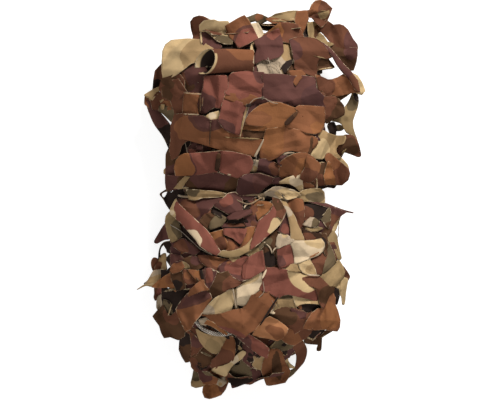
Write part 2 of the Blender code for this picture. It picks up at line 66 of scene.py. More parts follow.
class Ink(Enum):
    """The inks of the print and the bare tones of the cloth's reverse, as linear colours; a lighter amber is
    painted light, and the near-black and the darkest brown's fold strips are painted shade.
    """
    RUST = (0.188, 0.075, 0.035)
    AMBER = (0.222, 0.090, 0.037)
    # Amber made lighter as painted light, for a leaf that slopes away from the key light.
    LIT_AMBER = (0.330, 0.145, 0.065)
    CHESTNUT = (0.118, 0.047, 0.027)
    UMBER = (0.074, 0.036, 0.019)
    ROSE = (0.172, 0.060, 0.042)
    WINE = (0.092, 0.039, 0.032)
    PLUM = (0.076, 0.034, 0.030)
    # Dark brown: the print of one leaf, and painted shadow in the strips laid along deep folds.
    BISTRE_AND_FOLD_SHADE = (0.042, 0.022, 0.014)
    # A near-black that the print has not: painted shade, for the deep gaps between leaves, dark patches on
    # low leaves, the inside of the rolled tube and the folded body behind.
    SHADOW_BLACK = (0.024, 0.016, 0.013)
    CREAM = (0.530, 0.405, 0.262)
    SAND = (0.440, 0.308, 0.160)
    TAN = (0.300, 0.195, 0.095)
    KHAKI = (0.245, 0.165, 0.080)
    OLIVE = (0.108, 0.076, 0.042)
    STONE = (0.345, 0.262, 0.178)
    CHALK = (0.800, 0.735, 0.620)


@dataclass(frozen=True)
class Station:
    """A cross-section of the folded bundle: place along Y, edges in X, height and lift."""
    y: float
    left: float
    right: float
    height: float
    lift: float


STATIONS: tuple[Station, ...] = (
    Station(-178, -36, 18, 50, 0),
    Station(-150, -60, 44, 82, 0),
    Station(-122, -78, 74, 98, 0),
    Station(-90, -80, 80, 104, 0),
    Station(-50, -77, 76, 99, 0),
    Station(-16, -76, 74, 86, 0),
    Station(4, -73, 68, 73, 6),
    Station(22, -76, 74, 85, 0),
    Station(46, -76, 74, 96, 0),
    Station(75, -74, 73, 102, 0),
    Station(102, -79, 72, 104, 0),
    Station(130, -80, 69, 101, 0),
    Station(150, -70, 68, 91, 0),
    Station(167, -50, 56, 72, 0),
)


@dataclass(frozen=True)
class Bundle:
    """The folded bundle's girth and the surface that its leaves lie on."""
    corner_power: float = 2.6
    overhang: float = 1.15
    flank_share: float = 0.45
    floor_clear: float = 0.9

    def girth(self, y: Array | float) -> tuple[Array, Array, Array, Array]:
        """Left edge, right edge, height and lift at y, straight between the stations.

        Args:
            y: Place or places along the bundle, in millimetres.

        Returns:
            The four sizes, as arrays of y's shape.
        """
        ys = [s.y for s in STATIONS]
        columns = ([s.left for s in STATIONS], [s.right for s in STATIONS],
                   [s.height for s in STATIONS], [s.lift for s in STATIONS])
        left, right, height, lift = (np.interp(y, ys, column) for column in columns)
        return left, right, height, lift

    def carrier(self, x: Array, y: Array) -> Array:
        """Height of the carrying surface: height x (flank + (1 - flank) x (1 - (across / overhang)^4)).

        Args:
            x: Places across.
            y: Places along.

        Returns:
            Heights above the floor, in millimetres.
        """
        left, right, height, _ = self.girth(y)
        across = np.abs(2 * x - left - right) / (right - left)
        fall = np.minimum(across / self.overhang, 1.0) ** 4
        return height * (self.flank_share + (1 - self.flank_share) * (1 - fall))

    def flank(self, share: Array, y: Array, side: int) -> Array:
        """X of the flank at a share of the height: a superellipse between the girth's edges.

        Args:
            share: Heights as shares of the girth's height.
            y: Places along.
            side: -1 for the left flank and 1 for the right one.

        Returns:
            Places across, in millimetres.
        """
        left, right, _, _ = self.girth(y)
        middle, reach = (left + right) / 2, (right - left) / 2
        bulge = (1 - np.minimum(np.abs(2 * share - 1), 0.999) ** self.corner_power) ** (1 / self.corner_power)
        return middle + side * reach * bulge


BUNDLE = Bundle()


@dataclass
class Heap:
    """Many small surfaces gathered into the arrays of one mesh, with their whole area in square metres."""
    points: list[Array] = field(default_factory=list)
    quads: list[Array] = field(default_factory=list)
    uvs: list[Array] = field(default_factory=list)
    values: dict[str, list[Array]] = field(default_factory=dict)
    count: int = 0
    area: float = 0.0

    def add(self, grid: Array, uv: Array, outward: Array, **values: Array) -> None:
        """Add one grid of points with its quads, its cloth coordinates and its painted values.

        The quads are turned over where the grid's own cross products point against the outward way.

        Args:
            grid: Points in millimetres, shape (rows, columns, 3).
            uv: Cloth coordinates in millimetres, shape (rows, columns, 2).
            outward: The way that the leaf's shown side looks, shape (rows, columns, 3).
            values: Point values by attribute name, each of shape (rows, columns) or (rows, columns, 3).
        """
        rows, columns = grid.shape[:2]
        index = np.arange(rows * columns).reshape(rows, columns) + self.count
        ring = (index[:-1, :-1], index[1:, :-1], index[1:, 1:], index[:-1, 1:])
        first = np.cross(grid[1:, :-1] - grid[:-1, :-1], grid[:-1, 1:] - grid[:-1, :-1])
        second = np.cross(grid[:-1, 1:] - grid[1:, 1:], grid[1:, :-1] - grid[1:, 1:])
        flip = float((first * outward[:-1, :-1]).sum()) < 0
        quads = np.stack(ring[::-1] if flip else ring, axis=-1).reshape(-1, 4)
        self.points.append(grid.reshape(-1, 3) * MM)
        self.quads.append(quads)
        self.uvs.append(uv.reshape(-1, 2))
        for name, value in values.items():
            self.values.setdefault(name, []).append(value.reshape(rows * columns, -1))
        self.count += rows * columns
        halves = np.linalg.norm(first, axis=-1).sum() + np.linalg.norm(second, axis=-1).sum()
        self.area += float(halves) / 2 / SQUARE_MM_PER_SQUARE_M

    def build(self, name: str) -> bpy.types.Object:
        """Put the arrays into a mesh object at the origin.

        Args:
            name: The object's name.

        Returns:
            The object, linked to the scene.
        """
        mesh = bpy.data.meshes.new(name)
        points, quads = np.concatenate(self.points), np.concatenate(self.quads)
        mesh.vertices.add(len(points))
        mesh.vertices.foreach_set("co", points.astype(np.float32).ravel())
        mesh.loops.add(quads.size)
        mesh.loops.foreach_set("vertex_index", quads.astype(np.int32).ravel())
        mesh.polygons.add(len(quads))
        mesh.polygons.foreach_set("loop_start", np.arange(0, quads.size, 4, dtype=np.int32))
        mesh.polygons.foreach_set("loop_total", np.full(len(quads), 4, dtype=np.int32))
        mesh.polygons.foreach_set("use_smooth", np.ones(len(quads), dtype=bool))
        layer = mesh.uv_layers.new(name="cloth")
        layer.data.foreach_set("uv", np.concatenate(self.uvs)[quads.ravel()].astype(np.float32).ravel())
        for key, parts in self.values.items():
            self._paint(mesh, key, np.concatenate(parts))
        mesh.update()
        mesh.validate()
        obj = bpy.data.objects.new(name, mesh)
        bpy.context.scene.collection.objects.link(obj)
        return obj

    @staticmethod
    def _paint(mesh: bpy.types.Mesh, key: str, column: Array) -> None:
        """Write one painted value, as a colour where it has three numbers.

        Args:
            mesh: The mesh.
            key: The attribute's name.
            column: One row of numbers for each point.
        """
        kind, target = "FLOAT", "value"
        if column.shape[1] == 3:
            kind, target = "FLOAT_COLOR", "color"
            column = np.hstack([column, np.ones((len(column), 1))])
        data = mesh.attributes.new(key, kind, "POINT").data
        data.foreach_set(target, column.astype(np.float32).ravel())


class Ground(Protocol):
    """A surface that leaves are laid on."""

    def place(self, a: Array, b: Array, lift: Array) -> Array:
        """Points over the surface's places (a, b), lifted off it, in millimetres.

        Args:
            a: First places on the surface.
            b: Second places on the surface.
            lift: Heights off the surface, in millimetres.

        Returns:
            Points in millimetres, with one axis more than a.
        """


@dataclass(frozen=True)
class Front:
    """The bundle's face: a is X and b is Y, as seen from an eye straight above a level true to size."""
    level: float = 60.0
    eye: float = 2000.0

    def place(self, a: Array, b: Array, lift: Array) -> Array:
        """Points on the carrying surface, lifted, kept off the floor and drawn in as they near the eye.

        Args:
            a: First places on the surface.
            b: Second places on the surface.
            lift: Heights off the surface, in millimetres.

        Returns:
            Points in millimetres, with one axis more than a.
        """
        z = np.maximum(BUNDLE.carrier(a, b) + lift, BUNDLE.floor_clear)
        spread = 1 - (z - self.level) / self.eye
        return np.stack([a * spread, b * spread, z], axis=-1)


@dataclass(frozen=True)
class Flank:
    """One flank: a is the height in hundredths of the girth's height and b is Y."""
    side: int
    low: float = 0.02
    high: float = 0.97

    def place(self, a: Array, b: Array, lift: Array) -> Array:
        """Points on the flank, lifted along the superellipse's own outward way.

        Args:
            a: First places on the surface.
            b: Second places on the surface.
            lift: Heights off the surface, in millimetres.

        Returns:
            Points in millimetres, with one axis more than a.
        """
        left, right, height, rise = BUNDLE.girth(b)
        share = np.clip(a / 100, self.low, self.high)
        reach = (right - left) / 2
        x = BUNDLE.flank(share, b, self.side)
        across = np.abs(x - (left + right) / 2) / reach
        nx = self.side * across ** (BUNDLE.corner_power - 1) / reach
        nz = np.sign(2 * share - 1) * np.abs(2 * share - 1) ** (BUNDLE.corner_power - 1) * 2 / height
        size = np.hypot(nx, nz)
        z = np.maximum(share * height + rise * 0.5 + lift * nz / size, BUNDLE.floor_clear)
        return np.stack([x + lift * nx / size, b, z], axis=-1)


@dataclass(frozen=True)
class End:
    """One end of the bundle: a is X and b is the height above the floor."""
    y: float
    way: int
    bulge: float = 9.0

    def place(self, a: Array, b: Array, lift: Array) -> Array:
        """Points on a low dome over the fold's end: y + way x (bulge x (1 - across^2)(1 - up^2) + lift).

        Args:
            a: First places on the surface.
            b: Second places on the surface.
            lift: Heights off the surface, in millimetres.

        Returns:
            Points in millimetres, with one axis more than a.
        """
        left, right, height, _ = (float(v) for v in BUNDLE.girth(self.y))
        across, up = (2 * a - left - right) / (right - left), 2 * b / height - 1
        dome = self.bulge * np.maximum(0, 1 - across ** 2) * np.maximum(0, 1 - up ** 2)
        z = np.maximum(b, BUNDLE.floor_clear)
        return np.stack([a, self.y + self.way * (dome + lift), z], axis=-1)


@dataclass(frozen=True)
class Back:
    """The bundle's underside: a is X and b is Y."""
    top: float = 3.2
    low: float = 0.7

    def place(self, a: Array, b: Array, lift: Array) -> Array:
        """Points just over the floor; the lift goes down to it."""
        return np.stack([a, b, np.maximum(self.top - lift, self.low)], axis=-1)


@dataclass(frozen=True)
class Print:
    """What is printed on a leaf: a ground, a round blotch on it and the dark band where the inks overlap.

    The blotch may be stretched along a way, in degrees from +X.
    """
    ground: Ink
    blotch: Ink | None = None
    centre: Place = (0.0, 0.0)
    radius: float = 0.0
    band: float = 0.0
    lining: Ink = Ink.KHAKI
    stretch: float = 1.0
    way: float = 0.0

    def values(self, x: Array, y: Array) -> dict[str, Array]:
        """The painted values of a leaf: inks, distance into the blotch and the band's width.

        The blotch's rim is a circle whose radius wavers by the sines of three and five times its angle.

        Args:
            x: Places across.
            y: Places along.

        Returns:
            Values by attribute name.
        """
        c, s = math.cos(math.radians(self.way)), math.sin(math.radians(self.way))
        dx, dy = x - self.centre[0], y - self.centre[1]
        dx, dy = (dx * c + dy * s) / self.stretch, dy * c - dx * s
        angle = np.arctan2(dy, dx)
        phase = self.centre[0] * 0.7 + self.centre[1]
        waver = 1 + 0.10 * np.sin(3 * angle + phase) + 0.05 * np.sin(5 * angle - phase)
        split = self.radius * waver - np.hypot(dx, dy) if self.blotch else np.full(x.shape, -99.0)
        one = np.ones(x.shape + (1,))
        return {"ground": one * self.ground.value, "blotch": one * (self.blotch or self.ground).value,
                "lining": one * self.lining.value, "split": split, "band": np.full(x.shape, self.band),
                "tuck": np.zeros(x.shape)}


def inked(ink: Ink | Print) -> Print:
    """A print of one ink, with a dark lining under the pale reverses, or the print itself.

    Args:
        ink: An ink or a print.

    Returns:
        The print.
    """
    if isinstance(ink, Print):
        return ink
    pale = ink in (Ink.SAND, Ink.TAN, Ink.STONE, Ink.CREAM, Ink.KHAKI)
    return Print(ink, lining=Ink.CHESTNUT if pale else Ink.KHAKI)


def shares(long: float, wide: float, step: float, rows: int = 6, start: float = 0.0) -> list[Array]:
    """Two grids of shares over a leaf, in cells of a step.

    Args:
        long: The leaf's length.
        wide: Its width.
        step: Size of a grid cell, in millimetres.
        rows: The fewest rows.
        start: Where the shares across start.

    Returns:
        Shares along, from 0 to 1, and shares across, from the start to 1.
    """
    rows, columns = max(rows, int(long / step) + 1), max(4, int(wide / step) + 1)
    return np.meshgrid(np.linspace(0, 1, rows), np.linspace(start, 1, columns), indexing="ij")


def creases(x: Array, y: Array, rng: np.random.Generator, count: int, depth: float) -> Array:
    """Crisp creases: a sum of tents, each high on a random line and falling straight to nought beside it.

    Args:
        x: Places across.
        y: Places along.
        rng: The seeded source of the lines.
        count: How many lines.
        depth: The tallest tent, in millimetres.

    Returns:
        Heights to add, in millimetres.
    """
    total = np.zeros(x.shape)
    for _ in range(count):
        angle, share_u, share_v = rng.uniform(0, math.pi), rng.uniform(0.15, 0.85), rng.uniform(0.15, 0.85)
        px = x.min() + share_u * np.ptp(x)
        py = y.min() + share_v * np.ptp(y)
        away = np.abs((x - px) * math.sin(angle) - (y - py) * math.cos(angle))
        total += rng.uniform(-1, 1) * depth * np.maximum(0, 1 - away / rng.uniform(4, 13))
    return total


@dataclass(frozen=True)
class Crease:
    """A listed crease: a tent on the line from start to end, of a height and a half width."""
    x0: float
    y0: float
    x1: float
    y1: float
    height: float
    half: float

    def lift(self, x: Array, y: Array) -> Array:
        """The tent's height over each place: height x (1 - distance to the line's stretch / half).

        Args:
            x: Places across.
            y: Places along.

        Returns:
            Heights in millimetres.
        """
        dx, dy = self.x1 - self.x0, self.y1 - self.y0
        share = np.clip(((x - self.x0) * dx + (y - self.y0) * dy) / (dx * dx + dy * dy), 0, 1)
        away = np.hypot(x - self.x0 - share * dx, y - self.y0 - share * dy)
        return self.height * np.maximum(0, 1 - away / self.half)


def tents(placed: Sequence[Crease], x: Array, y: Array) -> Array:
    """The sum of the listed creases."""
    return sum((crease.lift(x, y) for crease in placed), np.zeros(x.shape))


def bilinear(a: Array, b: Array, c: Array, d: Array, u: Array, v: Array) -> Array:
    """The corners mixed by (1-u)(1-v), (1-u)v, uv and u(1-v)."""
    u, v = u[..., None], v[..., None]
    return a * (1 - u) * (1 - v) + b * (1 - u) * v + c * u * v + d * u * (1 - v)


def parabola(knots: Sequence[float], u: Array) -> Array:
    """The parabola through three knots at u = 0, 1/2 and 1: a(1-u)(1-2u) + 4mu(1-u) + bu(2u-1)."""
    a, m, b = knots
    return a * (1 - u) * (1 - 2 * u) + 4 * m * u * (1 - u) + b * u * (2 * u - 1)


def smooth_line(points: Sequence[Sequence[float]], u: Array) -> Array:
    """The Catmull-Rom curve through points, at shares u of its stretches.

    Each stretch mixes its two ends and their neighbours by the cubic weights of Catmull and Rom.

    Args:
        points: Two or more points of any dimension.
        u: Shares from 0 to 1.

    Returns:
        Points on the curve, of u's shape and one axis more.
    """
    knots = np.array(points, float)
    knots = np.vstack([2 * knots[:1] - knots[1:2], knots, 2 * knots[-1:] - knots[-2:-1]])
    place = np.clip(u, 0, 1) * (len(knots) - 3)
    first = np.minimum(place.astype(int), len(knots) - 4)
    t = (place - first)[..., None]
    p0, p1, p2, p3 = (knots[first + k] for k in range(4))
    return 0.5 * (2 * p1 + (p2 - p0) * t + (2 * p0 - 5 * p1 + 4 * p2 - p3) * t * t
                  + (3 * p1 - p0 - 3 * p2 + p3) * t ** 3)


def settle(heap: Heap, ground: Ground, a: Array, b: Array, lift: Array, rim: Array, uv: Array,
           ink: Print, fray: float, tuck: Array | float = 0.0) -> None:
    """Put a leaf's grid on its ground and add it to a heap.

    Sines of under a millimetre bend the leaf's straight edges a little.

    Args:
        heap: Where the leaf goes.
        ground: The surface that it is laid on.
        a: First places on the surface.
        b: Second places on the surface.
        lift: Heights off the surface.
        rim: Distances to the cut edge, in millimetres.
        uv: Cloth coordinates.
        ink: The leaf's print.
        fray: Width of the bare, fluffed edge, in millimetres.
        tuck: Height of the creases that are only shaded, in millimetres.
    """
    phase = float(uv[0, 0].sum())
    a, b = a + 0.4 * np.sin(b / 8.0 + phase), b + 0.35 * np.sin(a / 7.0 - phase)
    grid = ground.place(a, b, lift)
    outward = ground.place(a, b, lift + 1.0) - grid
    outward = np.where(np.abs(outward).sum(axis=-1, keepdims=True) > 1e-6, outward, UP)
    values = ink.values(a, b)
    values["tuck"] += tuck * MM
    heap.add(grid, uv, outward, rim=rim, fray=np.full(a.shape, fray), **values)


@dataclass(frozen=True)
class Flap:
    """A leaf given by its corners, from the root's two round to the tip's two.

    Lifts are the corners' heights off the ground.  Bows bulge the side from a to d, the side from b to c
    and the tip outwards.  The corners are pulled in at the root and at the tip, and the dip is how far the
    root's side goes down along its tuck.
    """
    a: Place
    b: Place
    c: Place
    d: Place
    lifts: tuple[float, float, float, float]
    ink: Print
    bows: tuple[float, float, float]
    tip: float
    crinkle: float
    root: float = 0.05
    fray: float = 0.25
    tuck: float = 6.0
    dip: float = 3.5
    curl: float = 1.2

    def lay(self, heap: Heap, ground: Ground, step: float, seed: int) -> None:
        """Work the leaf out and add it to a heap.

        The square (u, v) is mapped to a rounded square by s' = s sqrt(1 - k t^2 / 2), then to the four
        corners bilinearly, and each side is bowed by a parabola.  The root's side is carried on by the
        tuck and dips there, under what lies behind it.  The sides rise by the curl times the square of
        the way out.

        Args:
            heap: Where the leaf goes.
            ground: The surface that it is laid on.
            step: Size of a grid cell, in millimetres.
            seed: Seeds the leaf's creases.
        """
        a, b, c, d = (np.array(p, float) for p in (self.a, self.b, self.c, self.d))
        back = (a + b - c - d) / np.linalg.norm(a + b - c - d) * self.tuck
        a, b = a + back, b + back
        long = (np.linalg.norm(d - a) + np.linalg.norm(c - b)) / 2
        wide = max(np.linalg.norm(b - a), np.linalg.norm(c - d))
        u, v = shares(long, wide, step, 5)
        s, t = 2 * u - 1, 2 * v - 1
        k = self.root + (self.tip - self.root) * u
        su, tv = (s * np.sqrt(1 - k * t * t / 2) + 1) / 2, (t * np.sqrt(1 - k * s * s / 2) + 1) / 2
        plan = bilinear(a, b, c, d, su, tv)
        centre = (a + b + c + d) / 4
        for start, end, bow, shape in ((a, d, self.bows[0], 4 * u * (1 - u) * (1 - tv)),
                                       (b, c, self.bows[1], 4 * u * (1 - u) * tv),
                                       (d, c, self.bows[2], 4 * v * (1 - v) * su)):
            run = end - start
            out = np.array((-run[1], run[0])) / max(np.linalg.norm(run), 1e-6)
            out = out if np.dot(out, (start + end) / 2 - centre) > 0 else -out
            plan = plan + shape[..., None] * out * bow
        x, y = plan[..., 0], plan[..., 1]
        rise = bilinear(*(np.array([h], float) for h in self.lifts), su, tv)[..., 0]
        rng = np.random.default_rng(seed)
        rise = rise + self.curl * rng.uniform(-.4, 1.6) * (t * t - .4) * su
        rise = rise + 1.4 * self.curl * rng.uniform(-.3, 1) * su ** 4
        rise = rise + creases(x, y, rng, 6, self.crinkle)
        rise = rise - self.dip * np.maximum(0, 1 - u * long / (self.tuck + 1e-6)) ** 1.5
        rim = np.minimum.reduce([u * long, (1 - u) * long, v * wide, (1 - v) * wide])
        uv = np.stack([u * long + 7.3 * (seed % 31), v * wide + 5.1 * (seed % 17)], axis=-1)
        settle(heap, ground, x, y, rise, rim, uv, self.ink, self.fray)


@dataclass(frozen=True)
class Sail:
    """A leaf between two curved edges, each given by points (a, b, lift) from root to tip."""
    one: Route
    other: Route
    ink: Print | Ink
    sag: float = 0.0
    creases: tuple[Crease, ...] = ()
    crinkle: float = 1.2
    fray: float = 0.3

    def lay(self, heap: Heap, ground: Ground, step: float, seed: int) -> None:
        """Work the leaf out as straight threads between its two edges' curves, and add it to a heap.

        Args:
            heap: Where the leaf goes.
            ground: The surface that it is laid on.
            step: Size of a grid cell, in millimetres.
            seed: Seeds the leaf's creases.
        """
        fine = np.linspace(0, 1, 60)
        edges = smooth_line(self.one, fine), smooth_line(self.other, fine)
        long = max(float(np.linalg.norm(np.diff(edge[:, :2], axis=0), axis=1).sum()) for edge in edges)
        wide = float(np.linalg.norm(edges[0][:, :2] - edges[1][:, :2], axis=1).max())
        u, v = shares(long, wide, step)
        one, other = smooth_line(self.one, u), smooth_line(self.other, u)
        plan = one * (1 - v[..., None]) + other * v[..., None]
        x, y = plan[..., 0], plan[..., 1]
        rise = plan[..., 2] - self.sag * 4 * v * (1 - v)
        rise = rise + creases(x, y, np.random.default_rng(seed), 3, self.crinkle)
        rise = rise + tents(self.creases, x, y)
        gap = np.linalg.norm(one[..., :2] - other[..., :2], axis=-1)
        rim = np.minimum.reduce([u * long, (1 - u) * long, v * gap, (1 - v) * gap])
        uv = np.stack([u * long + 2.9 * (seed % 23), v * gap + 6.1 * (seed % 19)], axis=-1)
        settle(heap, ground, x, y, rise, rim, uv, inked(self.ink), self.fray)


@dataclass(frozen=True)
class Strip:
    """A narrow leaf along a bowed line, with its widths and lifts from start to end."""
    start: Place
    end: Place
    bow: float
    widths: tuple[float, float, float]
    lifts: tuple[float, float, float] | float
    ink: Print | Ink
    crinkle: float = 0.7
    fray: float = 0.3

    def lay(self, heap: Heap, ground: Ground, step: float, seed: int) -> None:
        """Work the strip out along a quadratic Bezier line and add it to a heap.

        Args:
            heap: Where the strip goes.
            ground: The surface that it is laid on.
            step: Size of a grid cell, in millimetres.
            seed: Seeds the strip's creases.
        """
        start, end = np.array(self.start, float), np.array(self.end, float)
        run = end - start
        long, wide = float(np.linalg.norm(run)) + abs(self.bow), max(self.widths)
        bend = (start + end) / 2 + np.array((-run[1], run[0])) / np.linalg.norm(run) * 2 * self.bow
        u, v = shares(long, wide, step, start=-1.0)
        w = u[..., None]
        line = start * (1 - w) ** 2 + bend * 2 * w * (1 - w) + end * w ** 2
        way = (bend - start) * (1 - w) + (end - bend) * w
        across = np.stack([-way[..., 1], way[..., 0]], axis=-1)
        across = across / np.linalg.norm(across, axis=-1, keepdims=True)
        half = parabola(self.widths, u) / 2 * np.minimum(1, np.sqrt(np.minimum(u, 1 - u) / 0.08 + 0.12))
        plan = line + across * (v * half)[..., None]
        x, y = plan[..., 0], plan[..., 1]
        lifts = self.lifts if isinstance(self.lifts, tuple) else (self.lifts,) * 3
        rise = parabola(lifts, u) + creases(x, y, np.random.default_rng(seed), 3, self.crinkle)
        rim = np.minimum.reduce([u * long, (1 - u) * long, (1 - np.abs(v)) * half])
        uv = np.stack([u * long + 3.7 * (seed % 29), v * half + 4.9 * (seed % 13)], axis=-1)
        settle(heap, ground, x, y, rise, rim, uv, inked(self.ink), self.fray)


@dataclass(frozen=True)
class Cut:
    """A leaf given by its cut outline, x and y of one place after the other, once round.

    The lift is its middle's height off the ground, and it leans by so many millimetres in ten, to +X and +Y.
    Shaped is the share of the folds' height that is in its form, the rest being only shaded, and fineness
    the number of steps of its outline for each row of its grid.
    """
    lift: float
    ink: Print | Ink
    outline: tuple[float, ...]
    lean: Place = (0.0, 0.0)
    creases: tuple[Crease, ...] = ()
    crinkle: float = 1.4
    curl: float = 0.5
    fray: float = 0.15
    rounding: int = 0
    spread: float = 0.7
    fold: float = 0.5
    shaped: float = 0.25
    fineness: float = 3.4

    def lay(self, heap: Heap, ground: Ground, step: float, seed: int) -> None:
        """Work the leaf out and add it to a heap.

        A square grid is drawn as nested squares round its middle; each goes to the outline shrunk towards
        the leaf's middle, its places spread evenly along the outline's run.  The outline is spread
        outwards a little, so that neighbours overlap.  Two seeded sets of folds crumple the leaf, each a
        zigzag of one slope along its own way, and most of their height is only shaded, so that
        neighbours don't cut through it.

        Args:
            heap: Where the leaf goes.
            ground: The surface that it is laid on.
            step: Size of a grid cell along the outline, in millimetres.
            seed: Seeds the leaf's creases and curl.
        """
        knots = np.array(self.outline, float).reshape(-1, 2)
        ring = np.vstack([knots, knots[:1]])
        run = np.concatenate([[0], np.cumsum(np.linalg.norm(np.diff(ring, axis=0), axis=1))])
        cells = max(6, int(run[-1] / step / self.fineness))
        share = np.interp(np.arange(4 * cells), np.round(run / run[-1] * 4 * cells), run)
        edge = np.stack([np.interp(share, run, ring[:, k]) for k in (0, 1)], axis=-1)
        for _ in range(self.rounding):
            edge = (np.roll(edge, 1, axis=0) + 2 * edge + np.roll(edge, -1, axis=0)) / 4
        way = np.roll(edge, -1, axis=0) - np.roll(edge, 1, axis=0)
        turned = np.sign(np.sum(edge[:, 0] * way[:, 1] - edge[:, 1] * way[:, 0]))
        length = np.maximum(np.linalg.norm(way, axis=1), 1e-6)[:, None]
        edge = edge + np.stack([way[:, 1], -way[:, 0]], axis=-1) / length * turned * self.spread
        edge = np.vstack([edge, edge[:1]])
        p, q = np.meshgrid(np.linspace(-1, 1, cells + 1), np.linspace(-1, 1, cells + 1), indexing="ij")
        out = np.maximum(np.abs(p), np.abs(q))
        size = np.maximum(out, 1e-9)
        sides = [p >= np.abs(q), q >= np.abs(p), -p >= np.abs(q)]
        eighths = np.select(sides, [1 + q / size, 3 - p / size, 5 - q / size], 7 + p / size)
        turn = eighths / 8 * (len(edge) - 1)
        rim_x, rim_y = (np.interp(turn, np.arange(len(edge)), edge[:, k]) for k in (0, 1))
        middle = edge[:-1].mean(axis=0)
        x, y = middle[0] + (rim_x - middle[0]) * out, middle[1] + (rim_y - middle[1]) * out
        rng = np.random.default_rng(seed)
        angle = np.arctan2(y - middle[1], x - middle[0])
        wave = rng.uniform(-1, 1) * np.sin(2 * angle + rng.uniform(0, 6))
        wave = wave + rng.uniform(-1, 1) * np.sin(3 * angle)
        rise = self.lift + self.lean[0] * (x - middle[0]) / 10 + self.lean[1] * (y - middle[1]) / 10
        rise = rise + self.curl * wave * out ** 2 + creases(x, y, rng, 5, self.crinkle)
        tuck, reach = np.zeros(x.shape), max(12.0, float(np.ptp(edge, axis=0).mean()))
        for _ in range(2):
            line, wide = rng.uniform(0, math.pi), rng.uniform(.5, 1.2) * reach
            slope = rng.uniform(.5, 1) * self.fold
            turns = (x * math.sin(line) - y * math.cos(line)) / wide + rng.uniform()
            tuck = tuck + slope * wide * (np.abs(turns % 1 - .5) - .25)
        rise = rise + tuck * self.shaped + tents(self.creases, x, y)
        rim = (1 - out) * np.hypot(rim_x - middle[0], rim_y - middle[1])
        grain = rng.uniform(0, math.pi)
        c, s = math.cos(grain), math.sin(grain)
        uv = np.stack([x * c - y * s + 200, x * s + y * c + 200], axis=-1)
        settle(heap, ground, x, y, rise, rim, uv, inked(self.ink), self.fray, tuck * (1 - self.shaped))


LeafShape = Cut | Sail | Strip
I = Ink  # short for the tables
